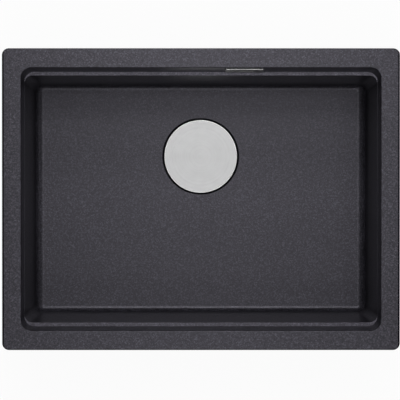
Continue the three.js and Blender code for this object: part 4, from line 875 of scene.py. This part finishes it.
def build_dish():
    low, high, flange = turned_size("strainer_dish")
    seat, floor = high - DISH_THICKNESS, low + DISH_THICKNESS
    neck = seat - NECK_DEPTH
    cone = neck - CONE_DEPTH
    dish_bore, well_bore = DISH_RADIUS - DISH_THICKNESS, WELL_RADIUS - DISH_THICKNESS
    dish = revolve("dish", rounded([
        (STEM_HOLE, low), (WELL_RADIUS, low, 2.2), (WELL_RADIUS, cone, 1.5), (DISH_RADIUS, neck, 1.5),
        (DISH_RADIUS, seat, 0.3), (flange, seat, 0.3), (flange, high, 0.6), (dish_bore, high, 1.5),
        (dish_bore, neck, 2), (well_bore, cone, 2), (well_bore, floor, 1.2), (STEM_HOLE, floor),
    ]))
    carve(dish, *[
        hole(WELL_HOLE_RADIUS, low - PAST, floor + PAST, DRAIN @ turn)
        for turn in around(WELL_HOLES, radius=WELL_HOLE_RING)
    ])
    piece(dish, "brushed_steel", "strainer_dish")


def build_waste_body():
    low, high, flange = turned_size("waste_body")
    under = high - BODY_FLANGE_THICKNESS
    outlet = low + OUTLET_LENGTH
    cone = outlet + BODY_CONE_DEPTH
    step = (BODY_RADIUS - BODY_BORE) / 2
    shell = revolve("waste_shell", rounded([
        (OUTLET_BORE, low, 0.5), (OUTLET_RADIUS - THREAD_DEPTH, low, 0.5),
        *thread(OUTLET_RADIUS, low + OUTLET_PLAIN, outlet - OUTLET_PLAIN),
        (OUTLET_RADIUS - THREAD_DEPTH, outlet - OUTLET_PLAIN / 2, 0.5), (OUTLET_RADIUS, outlet, 1),
        (BODY_RADIUS, cone, 4), (BODY_RADIUS, under, 1.5),
        (flange, under, 0.8), (flange, high, 0.5), (BODY_BORE, high, 0.5),
        (BODY_BORE, cone + step, 3), (OUTLET_BORE, outlet + step, 2),
    ]))
    start = (BODY_BORE + BODY_RADIUS) / 2 - INLET_REACH
    inlet = socket(start, INLET)
    bore = socket_bore(start - PAST, PIPE_BORE, INLET)
    along = Matrix.Rotation(math.pi / 2, 4, "X")
    root, foot, top = BODY_RADIUS - GUSSET_ROOT, under - GUSSET_HEIGHT, under + GUSSET_ROOT
    gusset = rounded([
        (root, foot), (BODY_RADIUS + GUSSET_FOOT, foot, 0.5),
        (BODY_RADIUS + GUSSET_REACH, top, 0.3), (root, top),
    ], 2)
    first = math.atan2(INLET_WAY.y, INLET_WAY.x)
    gussets = [
        block("gusset", gusset, -GUSSET_HALF_WIDTH, GUSSET_HALF_WIDTH, 0.2, DRAIN @ turn @ along)
        for turn in around(GUSSETS, first + math.pi / GUSSETS)
    ]
    carve(join(shell, inlet, *gussets), bore)
    hub_foot = HUB_TOP - HUB_HEIGHT
    arm_z = (2 * HUB_TOP - HUB_HEIGHT - SPIDER_ARM_HEIGHT) / 2
    reach = (BODY_BORE + BODY_RADIUS) / 4
    arm = [(x + reach, y) for x, y in rectangle(reach, SPIDER_ARM_WIDTH / 2, 0.5, 2)]
    arms = [
        block("arm", arm, arm_z, arm_z + SPIDER_ARM_HEIGHT, 0.6, DRAIN @ turn)
        for turn in around(SPIDER_ARMS, first + math.pi)
    ]
    hub = block("hub", circle(HUB_RADIUS), hub_foot, HUB_TOP, 0.6, DRAIN)
    carve(join(shell, hub, *arms), hole(HUB_BORE, hub_foot - PAST, HUB_TOP + PAST))
    piece(shell, "black_plastic", "waste_body")


def build_centre_screw():
    low, high, radius = turned_size("centre_screw")
    shank, head, chamfer = CENTRE_SCREW_RADIUS, high - CENTRE_HEAD_HEIGHT, CENTRE_SCREW_CHAMFER
    plain = head - CENTRE_SCREW_PLAIN
    screw = revolve("waste_screw", rounded([
        (0, low), (shank - chamfer, low), (shank, low + chamfer),
        *thread(shank, low + 1, plain - 1), (shank, plain), (shank, head), (radius, head, 0.4),
        (radius, high - CENTRE_HEAD_CHAMFER, 0.5), (radius - CENTRE_HEAD_CHAMFER, high, 0.8), (0, high),
    ]), steps=FITTING_ROUND)
    outline = rectangle(radius + 1, CENTRE_SLOT_WIDTH / 2, 0.1, 1)
    slot = block("slot", outline, high - CENTRE_SLOT_DEPTH, high + PAST, frame=DRAIN)
    piece(carve(screw, slot), "brushed_steel", "centre_screw")


def nut(name, node, frame, bore, radius, start, end, lip_bore, lip, ribs, rib_width):
    """A ribbed hand nut with an inner lip, drawn from start to end along its frame's Z axis."""
    obj = revolve(name, rounded([
        (bore, start, 0.3), (radius, start, 0.7), (radius, end, 0.7),
        (lip_bore, end, 0.3), (lip_bore, lip), (bore, lip),
    ]), frame, NUT_ROUND)
    half = rib_width / 2
    rib = rectangle(half, half, half * 0.5, 3)
    low, high = start + RIB_SET_IN, end - RIB_SET_IN
    turns = around(ribs, radius=radius)
    join(obj, *[block("rib", rib, low, high, half * 0.4, frame @ turn) for turn in turns])
    piece(obj, "black_plastic", node)


def build_outlet():
    low, high, _ = turned_size("outlet_nut")
    nut("coupling_nut", "outlet_nut", DRAIN, OUTLET_RADIUS + GAP, OUTLET_RADIUS + GAP + OUTLET_NUT_WALL,
        high, low, TAIL_RADIUS + GAP, low + OUTLET_NUT_LIP, OUTLET_NUT_RIBS, OUTLET_NUT_RIB_WIDTH)
    hoop("coupling_washer", "outlet_washer", OUTLET_BORE, "rubber")
    low, high, flange = turned_size("tailpiece")
    seat = high - TAIL_FLANGE_THICKNESS
    piece(revolve("tail_tube", rounded([
        (TAIL_BORE, low, 0.5), (TAIL_RADIUS, low, 0.8), (TAIL_RADIUS, seat, 0.5), (flange, seat, 0.4),
        (flange, high, 0.4), (TAIL_BORE, high, 0.4),
    ])), "grey_plastic", "tailpiece")


build_dish()
hoop("dish_seal", "flange_seal", SEAL_BORE, "rubber")
hoop("waste_seal", "body_seal", BODY_SEAL_BORE, "rubber", 0.8)
build_waste_body()
build_centre_screw()
build_outlet()

# ---- overflow

COVER_PLATE_FRONT = -1.8  # depth behind the sloping face
COVER_PLATE_BACK = -0.3
COVER_PLATE_HALF_X = 28.5
COVER_PLATE_HALF_Z = 10
SCREW_HEAD_RADIUS = 4
SCREW_HEAD_HEIGHT = 1.2
SCREW_RADIUS = 2
SCREW_KEY_DEPTH = 1
SCREW_KEY_TURNS = (25, 115)  # degrees
SCREW_ENGAGE = 4.5  # length inside the insert
COUNTERSINK_RIM = 0.1  # its straight part
HOUSING_FRONT_Y = 203.1
HOUSING_BOTTOM_Z = -44
HOUSING_THICKNESS = 2
HOUSING_SOCKET_ROOT = 4  # inside the housing
HOUSING_BORE_ROOT = 3
HOUSING_OUTLET_RADIUS = 6
CHAMBER_HALF_X = 18
CHAMBER_RISE = 0.4  # above the slot's upper edge
PANEL_MARGIN = 4
PANEL_DEPTH = 0.8
INSERT_DEPTH = HOUSING_FRONT_Y + HOUSING_THICKNESS - OVERFLOW_FACE_Y  # behind the sloping face
INSERT_HOLE = 3.9
INSERT_LENGTH = 8
CONE_SEAL_RADIUS = 10.5
CONE_SEAL_LENGTH = 3
SLIP_NUT_RADIUS = 12.8
SLIP_NUT_START = 6
SLIP_NUT_LIP = 3
SLIP_NUT_RIBS = 6
SLIP_NUT_RIB_WIDTH = 1.6


def upright_frame(y, z):
    """Frame whose Z axis runs back along +Y, at the overflow."""
    return Matrix.Translation((OVERFLOW_X, y, z)) @ INTO_WALL


def build_overflow_cover():
    front, back = COVER_PLATE_FRONT, COVER_PLATE_BACK
    outline = rectangle(COVER_PLATE_HALF_X, COVER_PLATE_HALF_Z, 2, 8)
    plate = block("overflow_plate", outline, front, back, 0.4, OVERFLOW_FACE)
    sink_depth = front + SCREW_HEAD_HEIGHT
    head, shank = SCREW_HEAD_RADIUS + GAP, SCREW_RADIUS + GAP
    cutters = [overflow_slot(front - PAST, PAST, OVERFLOW_FACE)]
    for at in OVERFLOW_SCREWS:
        cutters.append(revolve("countersink", [
            (0, front - PAST), (head, front - PAST),
            (head, front + COUNTERSINK_RIM), (shank, sink_depth), (shank, PAST), (0, PAST),
        ], at, SMALL_ROUND))
    piece(carve(plate, *cutters), "brushed_steel", "overflow_cover", material="straight_steel")
    tip = INSERT_DEPTH + SCREW_ENGAGE
    bar, bar_end = rectangle(SCREW_RADIUS, 0.45, 0.1, 1), front + SCREW_KEY_DEPTH
    for side, at in zip(("left", "right"), OVERFLOW_SCREWS):
        screw = revolve("plate_screw_" + side, rounded([
            (0, front), (SCREW_HEAD_RADIUS, front, 0.15), (SCREW_RADIUS, sink_depth),
            (SCREW_RADIUS, tip, 0.4), (0, tip),
        ]), at, SMALL_ROUND)
        for degrees in SCREW_KEY_TURNS:
            turned = at @ Matrix.Rotation(math.radians(degrees), 4, "Z")
            carve(screw, block("recess", bar, front - PAST, bar_end, frame=turned))
        piece(screw, "brushed_steel", "overflow_screw_" + side, material="straight_steel")


def build_gasket():
    low, high = box("overflow_gasket")
    place = upright_frame(low.y, OVERFLOW_Z)
    half_x, half_z = (high.x - low.x) / 2, (high.z - low.z) / 2
    gasket = block("slot_gasket", rectangle(half_x, half_z, 3, 6), 0, high.y - low.y, 0.3, place)
    cutters = [overflow_slot(-PAST, 2 * PAST, place)]
    cutters += [hole(OVERFLOW_SCREW_HOLE, 0, INSERT_DEPTH, at) for at in OVERFLOW_SCREWS]
    piece(carve(gasket, *cutters), "rubber", "overflow_gasket")


def build_housing():
    low, high = box("overflow_housing")
    half_x, half_z = (high.x - low.x) / 2, (high.z - HOUSING_BOTTOM_Z) / 2
    depth, wall = high.y - HOUSING_FRONT_Y, HOUSING_THICKNESS
    middle = upright_frame(HOUSING_FRONT_Y, (high.z + HOUSING_BOTTOM_Z) / 2)
    shell = block("housing_shell", rectangle(half_x, half_z, 3, 6), 0, depth, 1, middle)
    down = Matrix.Translation((OVERFLOW_X, PIPE_TOP.y, HOUSING_BOTTOM_Z)) @ Matrix.Rotation(math.pi, 4, "X")
    outlet = socket(-HOUSING_SOCKET_ROOT, down)
    bore = socket_bore(-HOUSING_BORE_ROOT, HOUSING_OUTLET_RADIUS, down)
    top, floor = OVERFLOW_Z + OVERFLOW_SLOT_HEIGHT / 2 + CHAMBER_RISE, HOUSING_BOTTOM_Z + wall
    chamber = block("chamber", rectangle(CHAMBER_HALF_X, (top - floor) / 2, 1, 3), wall, depth - wall, 0.5,
                    upright_frame(HOUSING_FRONT_Y, (top + floor) / 2))
    outline = rectangle(half_x - PANEL_MARGIN, half_z - PANEL_MARGIN, 2, 4)
    panel = block("panel", outline, depth - PANEL_DEPTH, depth + PAST, frame=middle)
    slot = overflow_slot(-PAST, PAST, upright_frame(HOUSING_FRONT_Y, OVERFLOW_Z))
    cutters = [chamber, bore, panel, slot]
    tip = INSERT_DEPTH + SCREW_ENGAGE + GAP
    insert_end = INSERT_DEPTH + INSERT_LENGTH
    for at in OVERFLOW_SCREWS:
        cutters.append(hole(OVERFLOW_SCREW_HOLE, 0, tip, at))
        cutters.append(hole(INSERT_HOLE, INSERT_DEPTH - GAP, insert_end + GAP, at))
    piece(carve(join(shell, outlet), *cutters), "black_plastic", "overflow_housing")

    start = SOCKET_LENGTH + GAP
    end = start + CONE_SEAL_LENGTH
    lip = end + GAP
    for name, way in (("upper", down), ("lower", INLET)):
        piece(revolve(name + "_cone_seal", rounded([
            (SOCKET_BORE, start, 0.3), (CONE_SEAL_RADIUS, start, 0.3),
            (CONE_SEAL_RADIUS, end, 0.3), (SOCKET_BORE, end, 0.3),
        ]), way, FITTING_ROUND), "rubber", f"overflow_{name}_seal")
        nut(name + "_slip_nut", f"overflow_{name}_nut", way, SOCKET_RADIUS + GAP, SLIP_NUT_RADIUS,
            SLIP_NUT_START, lip + SLIP_NUT_LIP, SOCKET_BORE, lip, SLIP_NUT_RIBS, SLIP_NUT_RIB_WIDTH)


def build_pipe():
    """Straight down from the housing, round one bend and level to the waste's inlet."""
    bend_centre = Vector((*PIPE_TOP.xy, INLET_Z + PIPE_BEND)) - INLET_WAY * PIPE_BEND
    bend = arc(0, 0, PIPE_BEND, 0, -90, PIPE_BEND_STEPS)
    path = [PIPE_TOP]
    path += [bend_centre + INLET_WAY * out + Vector((0, 0, up)) for out, up in bend]
    path.append(INLET @ Vector((0, 0, SOCKET_STOP + GAP)))
    across = INLET_WAY.cross(Vector((0, 0, 1)))
    rings = []
    for radius, points in ((PIPE_RADIUS, path), (PIPE_BORE, path[::-1])):
        for point in points:
            i = path.index(point)
            way = (path[min(i + 1, len(path) - 1)] - path[max(i - 1, 0)]).normalized()
            if i in (1, len(path) - 2):
                way = (path[1] - path[0] if i == 1 else path[-1] - path[-2]).normalized()
            side = across.cross(way)
            rings.append([point + (across * x + side * y) * radius for x, y in circle(1)])
    piece(loft("overflow_tube", rings, closed=True), "grey_plastic", "overflow_pipe")


build_overflow_cover()
build_gasket()
build_housing()
build_pipe()

# ---- mounting clips

CLIP_REACH = 50
CLIP_HALF_WIDTH = 7.5
CLIP_THICKNESS = 2
CLIP_TIP_RADIUS = 3.75
CLIP_TIP_STEPS = 8
CLIP_HEAD_STEPS = 24
CLIP_EDGE = 0.35
CLIP_PIVOT_HOLE = 2.8
CLIP_SLOT_LENGTH = 16
CLIP_SLOT_WIDTH = 5.6
CLIP_SLOT_CENTRE = 36
CLIP_NECK = 4.5  # half the plate's width between the notches
CLIP_HEAD_END = 9
CLIP_PLATE_SET_IN = 0.03  # keeps the plate's faces out of the channel's
FLANGE_START = 10
FLANGE_END = 45.2
CLIP_SCREW_RADIUS = 2.5
CLIP_HEAD_RADIUS = 4.3
CLIP_HEAD_HEIGHT = 3
CLIP_HEAD_RIDGES = 24
CLIP_RIDGE_DEPTH = 0.2
CLIP_HEAD_SHARP_ANGLE = 25  # keeps its ridges crisp
CLIP_KEY_RADIUS = 1.9
CLIP_KEY_SIDES = 6
CLIP_KEY_DEPTH = 1.5
CLIP_SHANK_ROOT = 0.5  # inside the head


def build_clip(name):
    pivot = clip_frame(name)
    low, high = box(name)
    under = high.z - CLIP_THICKNESS
    tip = CLIP_REACH - CLIP_TIP_RADIUS
    # Relief notches part the turned-down sides from the head and the tip
    tip_y = CLIP_HALF_WIDTH - CLIP_TIP_RADIUS
    outline = arc(tip, tip_y, CLIP_TIP_RADIUS, 0, 90, CLIP_TIP_STEPS)
    outline += [(tip, CLIP_NECK), (CLIP_HEAD_END, CLIP_NECK), (CLIP_HEAD_END, CLIP_HALF_WIDTH)]
    outline += arc(0, 0, CLIP_HALF_WIDTH, 90, 270, CLIP_HEAD_STEPS)
    outline += [(CLIP_HEAD_END, -CLIP_HALF_WIDTH), (CLIP_HEAD_END, -CLIP_NECK), (tip, -CLIP_NECK)]
    outline += arc(tip, -tip_y, CLIP_TIP_RADIUS, -90, 0, CLIP_TIP_STEPS)[:-1]
    foot, top = under + CLIP_PLATE_SET_IN, high.z - CLIP_PLATE_SET_IN
    plate = block(name + "_arm", outline, foot, top, CLIP_EDGE, pivot)
    # The turned-down sides: a channel's outline in YZ, drawn out along the arm
    outer, inner = CLIP_HALF_WIDTH, CLIP_HALF_WIDTH - CLIP_THICKNESS
    channel = rounded([
        (-outer, low.z, CLIP_EDGE), (-inner, low.z, CLIP_EDGE), (-inner, under, 0.8), (inner, under, 0.8),
        (inner, low.z, CLIP_EDGE), (outer, low.z, CLIP_EDGE), (outer, high.z, 1.6), (-outer, high.z, 1.6),
    ])
    along = Matrix(((0, 0, 1, 0), (1, 0, 0, 0), (0, 1, 0, 0), (0, 0, 0, 1)))
    fold = block("fold", channel, FLANGE_START, FLANGE_END, 0.2, pivot @ along)
    join(plate, fold)
    slot_at = pivot @ Matrix.Translation((CLIP_SLOT_CENTRE, 0, 0))
    slot = rectangle(CLIP_SLOT_LENGTH / 2, CLIP_SLOT_WIDTH / 2, CLIP_SLOT_WIDTH / 2, 8)
    ends = under - PAST, high.z + PAST
    carve(plate, block("slot", slot, *ends, frame=slot_at), hole(CLIP_PIVOT_HOLE, *ends, pivot))
    piece(plate, "zinc_steel", name, name)

    low, high, outer = turned_size(name + "_washer")
    piece(revolve(name + "_disc_washer", rounded([
        (CLIP_PIVOT_HOLE, low, 0.15), (outer, low, 0.3), (outer, high, 0.3), (CLIP_PIVOT_HOLE, high, 0.15),
    ]), pivot, SMALL_ROUND), "zinc_steel", name + "_washer")

    low, high, _ = turned_size(name + "_screw")
    top = low + CLIP_HEAD_HEIGHT
    root = top - CLIP_SHANK_ROOT
    shank = revolve(name + "_bolt", rounded([
        (0, root), (CLIP_SCREW_RADIUS, root), (CLIP_SCREW_RADIUS, high, 0.5), (0, high),
    ]), pivot, SMALL_ROUND)
    crest, valley = CLIP_HEAD_RADIUS, CLIP_HEAD_RADIUS - CLIP_RIDGE_DEPTH
    slope = (crest + valley) / 2
    radii = (crest, slope, valley, slope) * CLIP_HEAD_RIDGES
    ridges = [(r * x, r * y) for (x, y), r in zip(circle(1, len(radii)), radii)]
    join(shank, block("head", ridges, low, top, 0.25, pivot))
    carve(shank, hole(CLIP_KEY_RADIUS, low - PAST, low + CLIP_KEY_DEPTH, pivot, CLIP_KEY_SIDES))
    piece(shank, "zinc_steel", name + "_screw", angle=CLIP_HEAD_SHARP_ANGLE)


for clip_name in CLIPS:
    build_clip(clip_name)

# ---- CAD nodes that stay

SLOTS = {row["node"]: row["material_slot"] for row in frame["record"]["subparts"]}
for node_name, node in frame["nodes"].items():
    if node.hide_render:
        continue
    node.data.materials.clear()
    node.data.materials.append(MATERIALS[SLOTS[node_name]])

# ---- stage, light and camera

FLOOR_HALF_SIZE = 30000
FLOOR_DROP = 0.5  # under the part
FLOOR_GLOW = 0.94  # its own white in what the camera sees
CAMERA_PLACE = Vector((-7, 22, 2605)) * MM
CAMERA_TARGET = Vector((-1.5, -1.05, 0)) * MM
CAMERA_LENS = 161
CAMERA_SENSOR = 36
SOFTBOX_SIZE = (1.0, 0.5)  # the lamps are in metres
LAMP_DISTANCE = 3.0
LAMP_TARGET = Vector((0, 0, -0.1))
SIDE_LAMP_Y = 0.3
# Lean to the right, lean to the back, watts: a row over the bowl from the front to the back, strongest
# behind, and three weak lamps at the sides
SOFTBOXES = [
    (0, -60, 3), (0, -40, 12), (0, -22, 5), (0, -6, 6), (0, 8, 7), (0, 22, 16), (0, 40, 26),
    (-15, 0, 1), (15, 0, 3), (60, 0, 4),
]
WORLD_LEVEL = 0.15


def build_floor():
    z = CAD_BOX[0].z / MM - FLOOR_DROP
    far = FLOOR_HALF_SIZE
    corners = [Vector((x, y, z)) for x, y in ((-far, -far), (far, -far), (far, far), (-far, far))]
    floor = add_object("studio_floor", corners, [[0, 1, 2, 3]])
    nodes = Nodes("studio_floor")
    nodes.finish(base_color=nodes.ramp(nodes.noise(3), [(NOISE_LOW, 0.88), (NOISE_HIGH, 0.9)]), roughness=0.9)
    path = nodes.add("ShaderNodeLightPath").outputs
    seen = nodes.math("MAXIMUM", path["Is Camera Ray"], path["Is Glossy Ray"])
    share = nodes.math("MULTIPLY", seen, FLOOR_GLOW)
    white = nodes.add("ShaderNodeEmission", {"Color": (1, 1, 1, 1), "Strength": 1.0})
    mixed = nodes.add("ShaderNodeMixShader", {0: share, 1: nodes.shader.outputs[0], 2: white.outputs[0]})
    nodes.give(nodes.tree.nodes["Material Output"].inputs["Surface"], mixed.outputs[0])
    floor.data.materials.append(nodes.owner)


def build_world():
    nodes = Nodes("studio", "worlds", "Background")
    path = nodes.add("ShaderNodeLightPath").outputs
    seen = nodes.math("MAXIMUM", path["Is Camera Ray"], path["Is Transmission Ray"])
    level = nodes.add("ShaderNodeMapRange", {"Value": seen, "To Min": WORLD_LEVEL, "To Max": 1.0})
    bpy.context.scene.world = nodes.finish(color=(1, 1, 1, 1), strength=level.outputs["Result"])


def add_softbox(lean_x, lean_y, power):
    """A softbox that faces the bowl, leaning to the right or to the back in degrees."""
    data = bpy.data.lights.new("softbox", "AREA")
    data.shape = "RECTANGLE"
    data.size, data.size_y = SOFTBOX_SIZE
    data.energy = power
    lamp = new_object("softbox", data)
    angle = math.radians(lean_x or lean_y)
    aside, height = LAMP_DISTANCE * math.sin(angle), LAMP_DISTANCE * math.cos(angle)
    lamp.location = (aside, SIDE_LAMP_Y, height) if lean_x else (0, aside, height)
    lamp.rotation_mode = "QUATERNION"
    lamp.rotation_quaternion = (LAMP_TARGET - lamp.location).to_track_quat("-Z", "Y")


def build_camera():
    back = (CAMERA_PLACE - CAMERA_TARGET).normalized()
    right = Vector((0, 1, 0)).cross(back).normalized()
    up = back.cross(right)
    data = bpy.data.cameras.new("camera")
    data.lens = CAMERA_LENS
    data.sensor_width = CAMERA_SENSOR
    camera = new_object("camera", data)
    turn = Matrix((right, up, back)).transposed().to_4x4()
    camera.matrix_world = Matrix.Translation(CAMERA_PLACE) @ turn
    bpy.context.scene.camera = camera


build_floor()
build_world()
for softbox in SOFTBOXES:
    add_softbox(*softbox)
build_camera()
bpy.context.scene.view_settings.view_transform = "Standard"
